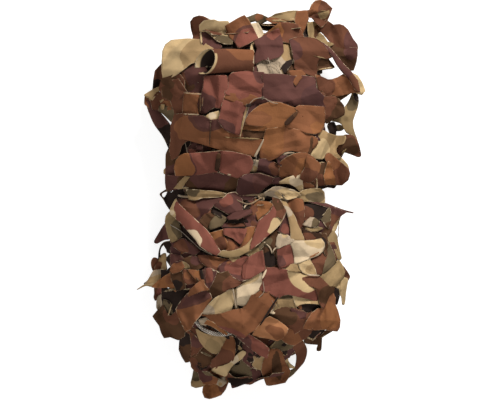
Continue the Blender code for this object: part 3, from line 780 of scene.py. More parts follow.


# In these tables, leaves and strips of the near-black ink are painted shade: set low, they stand for the dark
# gaps between leaves, and laid on top, for shadows in slits and folds.
CROWN: tuple[LeafShape, ...] = (
    Cut(2, I.CHESTNUT, (-41, 181, -48, 184, -52, 184.5, -57, 183, -60, 179, -59, 172, -57, 166, -55, 160,
        -49, 158, -48, 170, -46, 177), (1, 2.5)),
    Cut(6.5, Print(I.SAND, I.OLIVE, (-26, 159), 6, stretch=2.2), (-50, 170, -50, 176, -46, 180, -41, 181,
        -36, 181, -31, 179, -22, 179, -18, 174, -19, 165, -18, 157, -26, 157, -33, 160, -40, 167, -44, 170),
        (0, 1), (Crease(-44, 169, -28, 179, 1.8, 8), Crease(-38, 166, -20, 171, -1.6, 6)), fray=.6,
        fold=.2),
    Cut(2, I.WINE, (-49, 170, -43, 170, -33, 159, -29, 154, -38, 149, -43, 149, -48, 158), (0, 1.5)),
    Strip((-49.2, 169), (-48.4, 157), 0, (1.6, 2, 1.6), 4.2, I.SAND),
    Cut(-3, I.SHADOW_BLACK, (-51, 159, -30, 160, -10, 166, -6, 152, -24, 146, -48, 147)),
    Cut(9, Print(I.RUST, I.ROSE, (0, 154), 18, 1.5), (-25, 175, -20, 178, -12, 182.5, -6, 185, -2, 180, 3,
        172, 8, 163, -2, 157, -11, 153, -14, 158, -20, 164), (1, 1.5), (Crease(-18, 168, 2, 166, 1.6, 9),
        Crease(-12, 180, -4, 158, 1.4, 9)), curl=1.2, fold=.25),
    Cut(2, Print(I.OLIVE, I.RUST, (9, 184), 4), (-5, 182, 0, 184, 7, 187, 12, 186, 18, 183, 17, 181, 12,
        178, 10, 176.5, 5, 180, -2, 178), (0, 1)),
    Cut(3, Print(I.RUST, I.KHAKI, (34, 188), 7, stretch=2.4), (16, 181.6, 22, 184.5, 26, 187, 33, 188.5, 40,
        189.5, 49, 189.5, 48, 180, 30, 178.5, 23, 178), (0, 2)),
    Strip((22, 180.4), (47.5, 181.6), 0, (1.8, 2.2, 2), 4.4, I.TAN),
    Cut(2, I.KHAKI, (28, 180.5, 48, 181, 49, 174, 38, 175, 31, 176.5)),
    Cut(6, I.RUST, (47.5, 189.5, 46, 181, 47, 170, 50, 161, 56, 174, 59, 182, 57, 190), (2, 1)),
    Cut(6, Print(I.RUST, I.CHESTNUT, (78, 194), 9), (49, 189, 55, 190, 60, 191, 62, 196, 66, 200, 71, 200.5,
        76, 198, 82, 192, 80, 188, 75, 191, 68, 189, 61, 186, 55, 185), (-1, 2), (Crease(58, 188, 76, 192,
        1.6, 4),)),
    Cut(4.5, Print(I.CHESTNUT, I.KHAKI, (73.5, 188), 6), (60, 189, 68, 193, 75, 194, 82, 192, 80, 186, 77,
        179, 72, 174, 67, 178, 63, 183, 58, 184), (1, -2), (Crease(62, 184, 78, 188, 1.2, 5),)),
    Cut(5, Print(I.CHESTNUT, I.AMBER, (22, 171), 12), (13, 165, 15.7, 167.5, 22, 172.2, 30, 178, 36, 178,
        47, 176, 54, 165, 51, 160, 40, 158, 31, 160, 26, 166, 18, 164), (0, 1), (Crease(17, 168, 34, 177,
        1.5, 6), Crease(36, 178, 43, 160, 2, 6)), fold=.3),
    Cut(5.2, I.TAN, (30, 172, 40, 160, 31, 160), fray=.6),
    Cut(3, I.CREAM, (1, 177, 8, 178, 12, 171.5, 14, 166, 8, 161, 4, 168)),
    Sail(((5, 160, 4), (1.5, 156, 5), (.5, 151, 6), (3, 147, 6)), ((6, 158, 3), (4, 155.5, 4), (3.5, 151.5,
        5), (5, 148.5, 5)), I.SAND),
    Cut(7, Print(I.WINE, I.ROSE, (24, 167), 5, stretch=1.5, way=22), (4, 160, 11, 163, 20, 167.5, 29, 172,
        32, 160, 33, 149, 29, 144, 20, 141, 12, 141, 4, 137, 5, 146, 7, 152), (-.5, 2.5), (Crease(3, 156,
        31, 156, 2.4, 4), Crease(5, 150, 31, 150, -1.8, 5), Crease(20, 149, 26, 142, 1.4, 4)), fray=0),
    Cut(0, Print(I.STONE, I.TAN, (40, 150), 10), (33, 161, 41, 159, 44, 150, 46, 141, 40, 140, 34, 137, 31,
        130, 36, 120, 30, 120, 22, 123, 10, 128, 6, 140, 14, 142, 28, 145), (0, -1), (Crease(12, 138, 30,
        124, 1.5, 6), Crease(34, 156, 38, 140, 1.5, 5)), fray=.8),
    Cut(2.5, I.SHADOW_BLACK, (31, 125.6, 30.6, 130, 33, 135, 37, 139.4, 43, 141.5, 42.4, 138, 38, 132, 34, 127),
        fold=.1),
    Cut(6, Print(I.CHESTNUT, I.WINE, (40, 150), 10, 1.2), (40, 161, 47, 163, 60, 163, 66, 162, 72, 158.5,
        78, 150.5, 83, 144, 78, 142, 72, 145, 68, 140, 67, 134, 66, 124, 56, 127.5, 45, 132, 45, 140, 43,
        150), (1, 1.5), (Crease(44, 134, 66, 125, -2.6, 5), Crease(56, 162, 62, 130, 1.8, 10), Crease(70,
        156, 66, 138, 1.4, 7))),
    Cut(6.2, I.RUST, (40, 130, 43, 120, 46, 115.5, 50, 121, 56, 126, 52, 130), fray=0, fold=.1),
    Sail(((64, 162.5, 7), (76, 156.5, 8.5), (84.6, 148.5, 8.5), (95.4, 136, 8), (102.5, 129, 7), (109,
        119.5, 6), (111, 107, 4)), ((64, 160, 7), (73.8, 153, 8.5), (80.5, 146, 8.5), (87.5, 135, 8), (94.7,
        126.5, 7), (99, 122, 6), (105, 111, 4)), Print(I.WINE, I.CHESTNUT, (106, 116), 9), sag=-1),
    Cut(2, Print(I.CHESTNUT, I.WINE, (110, 160), 15), (77, 181, 84, 176, 90, 176.5, 94, 175, 98, 171, 103,
        161, 107, 156, 108, 152, 96, 150, 84, 154, 80, 160, 74, 167, 69, 171, 73, 177), (0, 1.5),
        (Crease(84, 176, 96, 156, 2, 7), Crease(95, 160, 99, 169, -2, 4))),
    Cut(1, Print(I.UMBER, I.WINE, (103, 150), 9), (77, 154, 84, 156, 95, 153, 108, 153, 108, 146, 106.5,
        139, 103.5, 131, 95, 130, 86, 142), (1, 1), (Crease(84, 152, 104, 144, 1.5, 6),)),
    Cut(1, Print(I.KHAKI, I.UMBER, (69, 170), 5, stretch=1.5, way=70), (58, 178, 65, 179.5, 70, 175, 70,
        166, 64, 162, 60, 164, 58.5, 170)),
    Cut(-4, I.SHADOW_BLACK, (52, 160, 50, 172, 55, 181, 60, 178, 62, 168, 64, 160)),
    Cut(5, I.KHAKI, (66, 161, 70, 168, 74, 164.5, 78, 158.5, 84, 156.5, 78, 153, 72, 157), (0, 1), fray=.5),
    Cut(3.5, Print(I.RUST, I.CHESTNUT, (72, 112), 14), (66, 126, 72, 123.5, 78, 120.5, 82, 120.5, 88, 122.5,
        95, 127, 103, 127.5, 107, 118, 110.5, 109, 104, 108.5, 95, 106, 84, 103, 75, 101, 69, 112), (0, 2),
        (Crease(92, 106, 86, 122, 2.4, 7), Crease(78, 104, 96, 118, -1.4, 6))),
    Cut(.5, I.UMBER, (82, 104, 92, 108, 104, 110, 90, 100, 84, 100)),
    Cut(-3, I.SAND, (102, 127.5, 108, 124.5, 112, 118, 115, 110, 112, 106, 107, 107, 104, 118), (-2, 0)),
    Cut(.5, I.UMBER, (66, 130, 75, 131.2, 82, 132.4, 84.5, 133.5, 80, 139, 76, 143.8, 71, 146, 66, 141), (0,
        1)),
    Strip((69, 131.4), (83.5, 133), 0, (1, 1.4, .8), 2, I.TAN),
    Cut(-5, I.SHADOW_BLACK, (65, 126, 66, 141, 72, 146, 79, 143, 80, 137, 72, 136, 72, 128)),
    Cut(1.5, Print(I.SAND, I.TAN, (-52, 146), 15, stretch=1.5, way=50), (-79, 160.5, -85, 156.5, -88, 150,
        -88.5, 140, -88, 130, -86.5, 122, -80, 123.5, -74, 126, -66, 132, -60, 137, -52, 140, -45, 146, -37,
        152, -45, 157, -49, 161, -62, 161.5), (0, 0), (Crease(-84, 141, -72, 147.5, 2.2, 6), Crease(-79,
        158, -69, 150, 2.4, 6), Crease(-69, 150, -61, 140, 2.4, 7), Crease(-80, 128, -66, 138, -1.8, 5)),
        crinkle=.9, fold=.22),
    Cut(-1.5, Print(I.WINE, I.CHESTNUT, (-74, 118), 12), (-75, 127, -66, 134, -60, 140, -50, 144, -42, 128,
        -42, 110, -46, 104, -58, 106, -72, 106), (0, 0), (Crease(-72, 118, -46, 130, 1.6, 8), Crease(-62,
        110, -44, 124, -1.8, 7)), fold=.25, fray=0),
    Cut(0, Print(I.CHESTNUT, I.UMBER, (-82, 120), 8), (-88, 122, -80, 124.5, -72, 128, -66, 120, -66, 108,
        -74, 99, -86, 101, -91, 112), (0, 1), (Crease(-86, 118, -70, 106, 1.6, 7),), fray=0),
    Cut(-11, Print(I.CHESTNUT, I.SHADOW_BLACK, (-94, 113), 8), (-98, 110, -97, 120, -95, 130, -88, 137, -85, 122,
        -86, 112), (1, 1)),
    Sail(((-86, 123, -6), (-91, 114, -8), (-100, 109, -9)), ((-84, 120, -6), (-89, 111, -8), (-98, 106,
        -9)), I.TAN),
)


SHOULDER: tuple[LeafShape, ...] = (
    Cut(7, Print(I.ROSE, I.WINE, (14, 130), 12), (-25, 107, -23, 116, -22, 124, -18, 128, -5, 129, 6, 128.5,
        13.5, 128, 13, 115, 12, 102.5, 6, 102, 0, 102, -10, 104, -20, 106), (-.5, .8), (Crease(-22, 112, 12,
        115, 1.8, 8), Crease(-4, 127, -8, 105, 1.4, 8))),
    Cut(6, Print(I.RUST, I.ROSE, (-8, 108), 7), (-26, 107.5, -16, 106, -10, 107.5, 1, 106, 8, 103, 1, 98,
        -4, 95, -12, 97, -20, 100, -27, 103), (0, 1.4), fray=0),
    Cut(7.5, Print(I.ROSE, I.WINE, (-26, 70), 11), (-26, 103.5, -16, 100.5, -9, 97.5, -3, 94, -5.5, 84, -8,
        75, -10.5, 65, -18, 67.5, -25, 71, -32, 79.5, -30, 88, -28, 96), (-.4, -1.2), (Crease(-27, 92, -6,
        84, 1.8, 5), Crease(-12, 97, -14, 68, 1.4, 7)), fold=.3),
    Strip((-1.4, 96.5), (-10.5, 63), -.6, (1.2, 2, .7), 9.5, Print(I.TAN, lining=I.OLIVE)),
    Cut(9, I.SHADOW_BLACK, (-3, 95.5, 1, 96, 1, 94, -3, 93.6), rounding=0),
    Cut(4.5, Print(I.SAND, I.CREAM, (-38, 85), 4), (-45, 83.4, -40.5, 87.2, -32, 89.4, -30.6, 86, -33.5,
        80.5, -39, 79.2), (0, -1), fold=.15, crinkle=.5),
    Cut(0, I.SHADOW_BLACK, (-48, 84, -43, 91, -36, 93, -28, 93, -28, 84, -36, 80)),
    Cut(5, Print(I.ROSE, I.WINE, (-47, 97), 12), (-47, 112, -46, 124, -24, 125, -22.5, 114, -25.5, 106, -28,
        98, -30, 92.5, -36, 93, -41, 90, -45, 87, -50, 86, -52, 97), (1, 1), (Crease(-46, 110, -26, 96, 2,
        9), Crease(-42, 120, -30, 96, -1.4, 7))),
    Cut(3, I.RUST, (-66, 108, -57, 107.5, -48, 106.5, -48, 96, -49, 86.5, -58, 86, -67, 86.5, -66.5, 97),
        (0, .8), (Crease(-65.5, 106, -66, 88, -3, 3.2), Crease(-50, 106, -50.5, 88, -3, 3)), fold=.2),
    Strip((-66, 107.6), (-49, 106.6), 0, (.5, .6, .5), 4.4, I.SAND),
    Strip((-50.2, 106), (-51, 88), 0, (1, 1.8, 1.4), 3.6, I.UMBER, fray=0),
    Strip((-66.5, 86.6), (-51, 86.2), 0, (.7, .9, .6), 5, I.CREAM),
    Cut(0, Print(I.CHESTNUT, I.UMBER, (-84, 108), 8), (-89, 118, -72, 121, -64, 108, -65, 86, -74, 84, -77,
        92, -80, 100, -88, 104), (0, 1), (Crease(-84, 112, -70, 92, 1.8, 8),)),
    Cut(-8, I.TAN, (-89, 115, -98, 111, -106.5, 105.5, -104, 103.5, -102, 103.5, -99.5, 99.5, -96.5, 104,
        -93.5, 109, -87, 113), fray=.5),
    Cut(-10, I.RUST, (-105.5, 104, -102, 104.5, -99, 101, -98.5, 96, -101, 93.5, -105.5, 97)),
    Cut(-9.5, Print(I.CHESTNUT, I.RUST, (-84, 95), 6), (-100, 100, -97, 104.5, -93, 109, -87, 107, -85, 100,
        -78, 100, -77, 92, -85, 90, -91, 91, -98, 92)),
    Cut(-7, I.TAN, (-93, 106, -88, 106, -87.5, 100.5, -89.5, 98.5)),
    Cut(-7, I.TAN, (-89.5, 96, -87, 96, -87, 92, -89, 92)),
    Cut(-9, I.OLIVE, (-91, 94, -85, 94, -77, 92, -75.5, 84, -76, 77.5, -80, 79.5, -88, 87, -91.5, 89), (1,
        1), (Crease(-90, 92, -78, 82, 1.4, 5),)),
    Sail(((-106, 100, -12), (-103.5, 91, -12), (-101.7, 86.5, -12), (-96.5, 76, -13), (-87.5, 64, -13),
        (-81.5, 50.5, -14)), ((-99, 100, -12), (-94, 93, -12), (-86.5, 84, -12), (-79, 74, -13), (-77, 62,
        -13), (-78, 51, -13)), Print(I.WINE, I.SHADOW_BLACK, (-84, 64), 12), sag=-2),
    Cut(.5, Print(I.CHESTNUT, I.RUST, (-66, 74), 9, stretch=1.4, way=60), (-76, 86, -66, 86.5, -55, 85.5,
        -50, 82, -48, 74, -50, 69, -58, 60.5, -64, 59, -69, 55, -73, 44, -79, 41, -81, 50, -79, 62, -79,
        75), (.5, .5), (Crease(-74, 84, -76, 48, 2, 6), Crease(-62, 84, -54, 64, 1.6, 8))),
    # Painted shadow: a thin near-black brown strip along the vertical crease.
    Strip((-40.4, 77), (-40.6, 54), 0, (.6, 1, .5), 7, I.BISTRE_AND_FOLD_SHADE, fray=0),
    Cut(5, Print(I.RUST, I.WINE, (-37, 84), 12.5, 1, stretch=1.8), (-67, 84.5, -57, 84, -48, 84, -40, 79.5,
        -32, 81, -24, 78, -12, 72.5, -9, 66, -10, 61.5, 0, 60, 12, 60.5, 10, 51, 6, 44, 0, 43.6, -10, 46,
        -26, 49.5, -41, 54, -52, 57.5, -61, 60.5, -68, 62, -70, 72), (0, 1.2), (Crease(-40.4, 78, -40.6, 54,
        -2, 3), Crease(-32, 68, -6, 48, 1.6, 9), Crease(-60, 80, -52, 60, 1.4, 8)), fold=.3, fray=0),
    Cut(2.5, Print(I.CHESTNUT, I.UMBER, (4, 68), 12), (-10.5, 71.5, 0, 71, 16.5, 70.5, 14.5, 65, 12, 61, 0,
        61, -11.5, 62), (0, -2), fray=0),
    Cut(4, I.AMBER, (-5, 79, 0, 77, 8, 75, 18, 74, 16.5, 70, 0, 70.5, -10, 71, -8, 75.5), (0, 1)),
    Cut(7, Print(I.AMBER, I.RUST, (6, 80), 9, stretch=1.6, way=20), (-5, 79, -1, 86, 4, 91, 10, 95, 20, 98,
        30, 97.5, 38, 95, 48, 91.5, 42, 82, 34, 73.5, 18, 71, 17, 73.5, 8, 74.5, -3, 76.5), (0, 1),
        (Crease(2, 82, 36, 84, 1.2, 10), Crease(18, 96, 22, 73, 1, 8)), fold=.2),
    # Painted shadow: a dark strip laid over the diagonal fold between the two leaves.
    Strip((48, 89), (35.5, 75.5), 0, (2.6, 4.6, 4), 9.4, Print(I.BISTRE_AND_FOLD_SHADE, I.UMBER, (47, 88), 5), fray=0),
    Cut(4.5, Print(I.WINE, I.PLUM, (2, 92), 7), (-2, 98, 4, 101, 10, 102.5, 16, 101, 23, 98, 22, 95.5, 10,
        91.5, 0, 85, -5, 87, -4, 92), (0, 2)),
    Cut(7, Print(I.RUST, I.AMBER, (68, 72), 7), (49, 90, 46, 92.5, 50, 94.5, 60, 94, 74.5, 93.5, 75.5, 85,
        74.5, 75, 71, 69, 65, 66.5, 58, 67, 50, 69.5, 42, 72, 34, 74, 41, 81), (1, 1.2), (Crease(66, 92, 60,
        68, 1.2, 8),), fold=.25),
    Cut(-2, I.SHADOW_BLACK, (53, 70, 60, 72, 72, 74, 74.5, 70, 70, 64.5, 60, 64, 53, 66)),
    Cut(5, Print(I.WINE, I.PLUM, (64, 104), 12), (12.5, 127, 30, 126, 44, 124, 56, 125, 65, 123, 67, 112,
        76, 102, 75, 92.5, 60, 93.5, 50, 94.5, 40, 94.5, 30, 97, 22, 98, 13, 102.5), (0, 1), (Crease(29,
        113, 44, 98, 1.8, 7), Crease(16, 120, 60, 116, 1.4, 9), Crease(46, 122, 66, 98, -1.8, 7), Crease(14,
        112, 28, 104, 1.4, 6)), fold=.3),
    Cut(0, Print(I.UMBER, I.CHESTNUT, (76, 96), 10, stretch=1.4, way=80), (66, 123, 71, 112, 76, 103, 84,
        103.5, 89, 101.5, 90.5, 99, 93.5, 95.5, 94.5, 91, 94, 86, 89, 83, 82, 80, 77, 77, 74, 79, 73, 92,
        72, 102, 62, 110, 60, 118), (1, 1), (Crease(72, 108, 90, 90, 2, 7),)),
    Cut(-7, Print(I.KHAKI, I.OLIVE, (103, 98), 8), (103.5, 108, 107, 106, 109, 100, 107.3, 93, 104.8, 87,
        102.6, 80, 103.3, 73, 105.5, 66, 108.5, 58, 106, 57.5, 104, 63, 101.5, 66.5, 97.5, 68, 95, 72, 93,
        76, 90, 78, 86, 79, 82, 79.5, 83, 82, 90, 84.5, 93.5, 86, 94, 92, 97, 95.5, 100.5, 101), (2, 0),
        (Crease(104, 104, 98, 84, 1.4, 5), Crease(98, 84, 102, 66, 1.2, 5)), crinkle=.7, rounding=1),
    Sail(((105, 66, -8), (108, 57, -8), (110, 50, -8), (111.5, 44, -9)), ((103.5, 64, -8), (106, 57, -8),
        (109, 49, -8), (110, 43.5, -9)), I.TAN),
    Cut(-6, I.SHADOW_BLACK, (103.5, 109.5, 107.5, 108, 109, 103, 108.5, 99, 106, 101)),
    Cut(-9, Print(I.SHADOW_BLACK, I.OLIVE, (92, 73), 5), (80, 78, 85, 78.5, 86, 74.5, 90, 75.5, 95.5, 73, 92, 70,
        86, 70, 86, 65.5, 81, 66, 80, 70, 78.5, 74), rounding=1),
    Cut(1, Print(I.TAN, I.SAND, (70, 50), 11), (72, 69.5, 75, 69.5, 79, 67, 82, 66, 87, 64.5, 96, 64.5,
        95.5, 61, 93.5, 57, 88, 56, 86, 53, 85.5, 50, 87, 46.5, 92, 42, 84, 43, 79, 47, 76, 45.5, 73, 41.5,
        66, 41.5, 62, 41, 59.5, 43.5, 61, 47.5, 63.5, 51, 66, 53.5, 68, 57, 67, 63), (0, 0), (Crease(74, 66,
        82, 48, 1.4, 6), Crease(64, 46, 80, 50, 1.2, 5)), crinkle=.8, rounding=1),
    Sail(((84, 48.5, 0), (90, 44.5, -1), (95, 39.5, -2), (98.5, 35, -3), (99.5, 29, -4)), ((78, 46.5, 0),
        (84, 42, 0), (90, 37, -1), (95, 32.5, -2), (98, 28.5, -4)), I.SAND),
    Cut(-4, Print(I.CHESTNUT, I.UMBER, (100, 53), 9), (94, 65, 102, 65, 105, 62.5, 108, 57, 110, 50, 111.5,
        44, 109, 43, 100, 46.5, 93, 49, 91.5, 50, 91, 45, 92, 42, 88, 45, 85, 49, 85.5, 55, 91, 58, 94, 60),
        (1, 1), (Crease(88, 54, 108, 54, 1.4, 6),), rounding=1),
    Cut(3, Print(I.CHESTNUT, I.RUST, (82, 38), 9), (76, 43, 77.5, 46.5, 79, 47.3, 82, 45.8, 90, 38.5, 99,
        31, 100, 26, 98, 20, 92, 15, 85, 15.5, 83, 25, 80, 34, 78, 38), (2, 0), (Crease(80, 44, 92, 18, 1.8,
        8),)),
    Cut(3.5, I.AMBER, (79, 39, 82, 34, 85, 25, 86, 16, 76, 16, 75, 24, 77, 32), (-1, 0), (Crease(81, 34, 81,
        16, 1.6, 4),)),
    Cut(1, Print(I.UMBER, I.CHESTNUT, (70, 20), 7), (79, 38, 77, 24, 78, 16, 66, 14, 61, 17, 66, 29, 72,
        37), (2, -1)),
    Cut(4, Print(I.RUST, I.CHESTNUT, (60, 22), 10), (58, 44, 66, 40.5, 71, 36, 69, 28, 64, 20, 58, 17.5, 50,
        21, 51, 25, 55, 31), (-2, 1), (Crease(62, 42, 56, 22, 1.4, 6),)),
    Cut(-3, I.SHADOW_BLACK, (62, 44, 78, 43, 80, 38, 75, 30, 68, 34)),
    Cut(1, I.KHAKI, (69.5, 36.5, 72.5, 38, 77, 37, 75, 33, 72, 31, 70, 33)),
    Cut(5.5, Print(I.RUST, I.AMBER, (54, 34), 8), (29, 35, 32, 39, 37, 43, 44, 46.5, 50, 47.5, 56, 47, 61,
        44, 65, 41, 61, 35, 56, 28, 51, 23.5, 44, 22.5, 36, 22.5, 30, 24, 28.5, 29), (-.5, 1.2), (Crease(34,
        40, 56, 30, 1.8, 9),), curl=1.6),
    Cut(0, I.SHADOW_BLACK, (26, 42, 31, 48, 38, 51, 46, 49, 46, 42, 34, 38, 28, 34)),
    Cut(3, I.PLUM, (27.5, 41.5, 33, 44.5, 39, 43.5, 34.5, 38, 31, 34, 28.5, 36.5)),
    Sail(((29, 42.5, 3.5), (33, 46, 3.5), (38, 47.8, 3.5), (45, 47.6, 4)), ((29.5, 41.8, 3.5), (34, 44,
        3.5), (39, 45.6, 3.5), (45, 46.6, 4)), I.STONE),
    Cut(3.5, Print(I.RUST, I.AMBER, (22, 62), 13, stretch=1.5, way=75), (16, 71, 20, 71.5, 32, 73.5, 42,
        71.5, 55, 68, 60, 65, 67, 62, 68, 57, 62, 50, 60, 46, 50, 48, 42, 50, 35, 49, 28, 43.5, 20, 40, 11,
        40, 10.5, 50, 13.5, 61), (0, .8), (Crease(24, 72, 22, 44, 2, 8), Crease(44, 68, 54, 52, 1.8, 7),
        Crease(30, 52, 52, 54, -1.4, 6), Crease(54, 57, 50, 47, 1.4, 4)), fold=.3),
    Cut(.5, I.PLUM, (56, 69, 60, 67, 70, 70, 75, 73, 76, 66, 72, 60, 62, 61)),
    Cut(4.2, I.UMBER, (56, 67, 66, 63.5, 68, 57, 63, 51, 60, 46, 57, 50, 57, 58), (1, 0), curl=.4),
    Strip((13.4, 61), (5, 43), .4, (1.2, 2, 2), 4.8, I.STONE),
    Cut(3.5, Print(I.STONE, I.TAN, (4, 31), 4), (3.5, 40.5, 8, 39.5, 8.5, 34, 5, 28, 1.5, 29.5, 3, 35)),
    Cut(1.5, I.SHADOW_BLACK, (13, 62, 13, 40, 10, 26, 2, 22, -2, 30, 4, 46, 10, 60)),
    Cut(2.5, Print(I.PLUM, I.CHESTNUT, (26, 32), 7), (9, 41, 14, 41, 22, 38.5, 29, 35, 29, 25, 22, 22, 12,
        22.5, 7, 26, 8.5, 33), (0, 1), (Crease(10, 36, 26, 28, 1.6, 6),)),
)


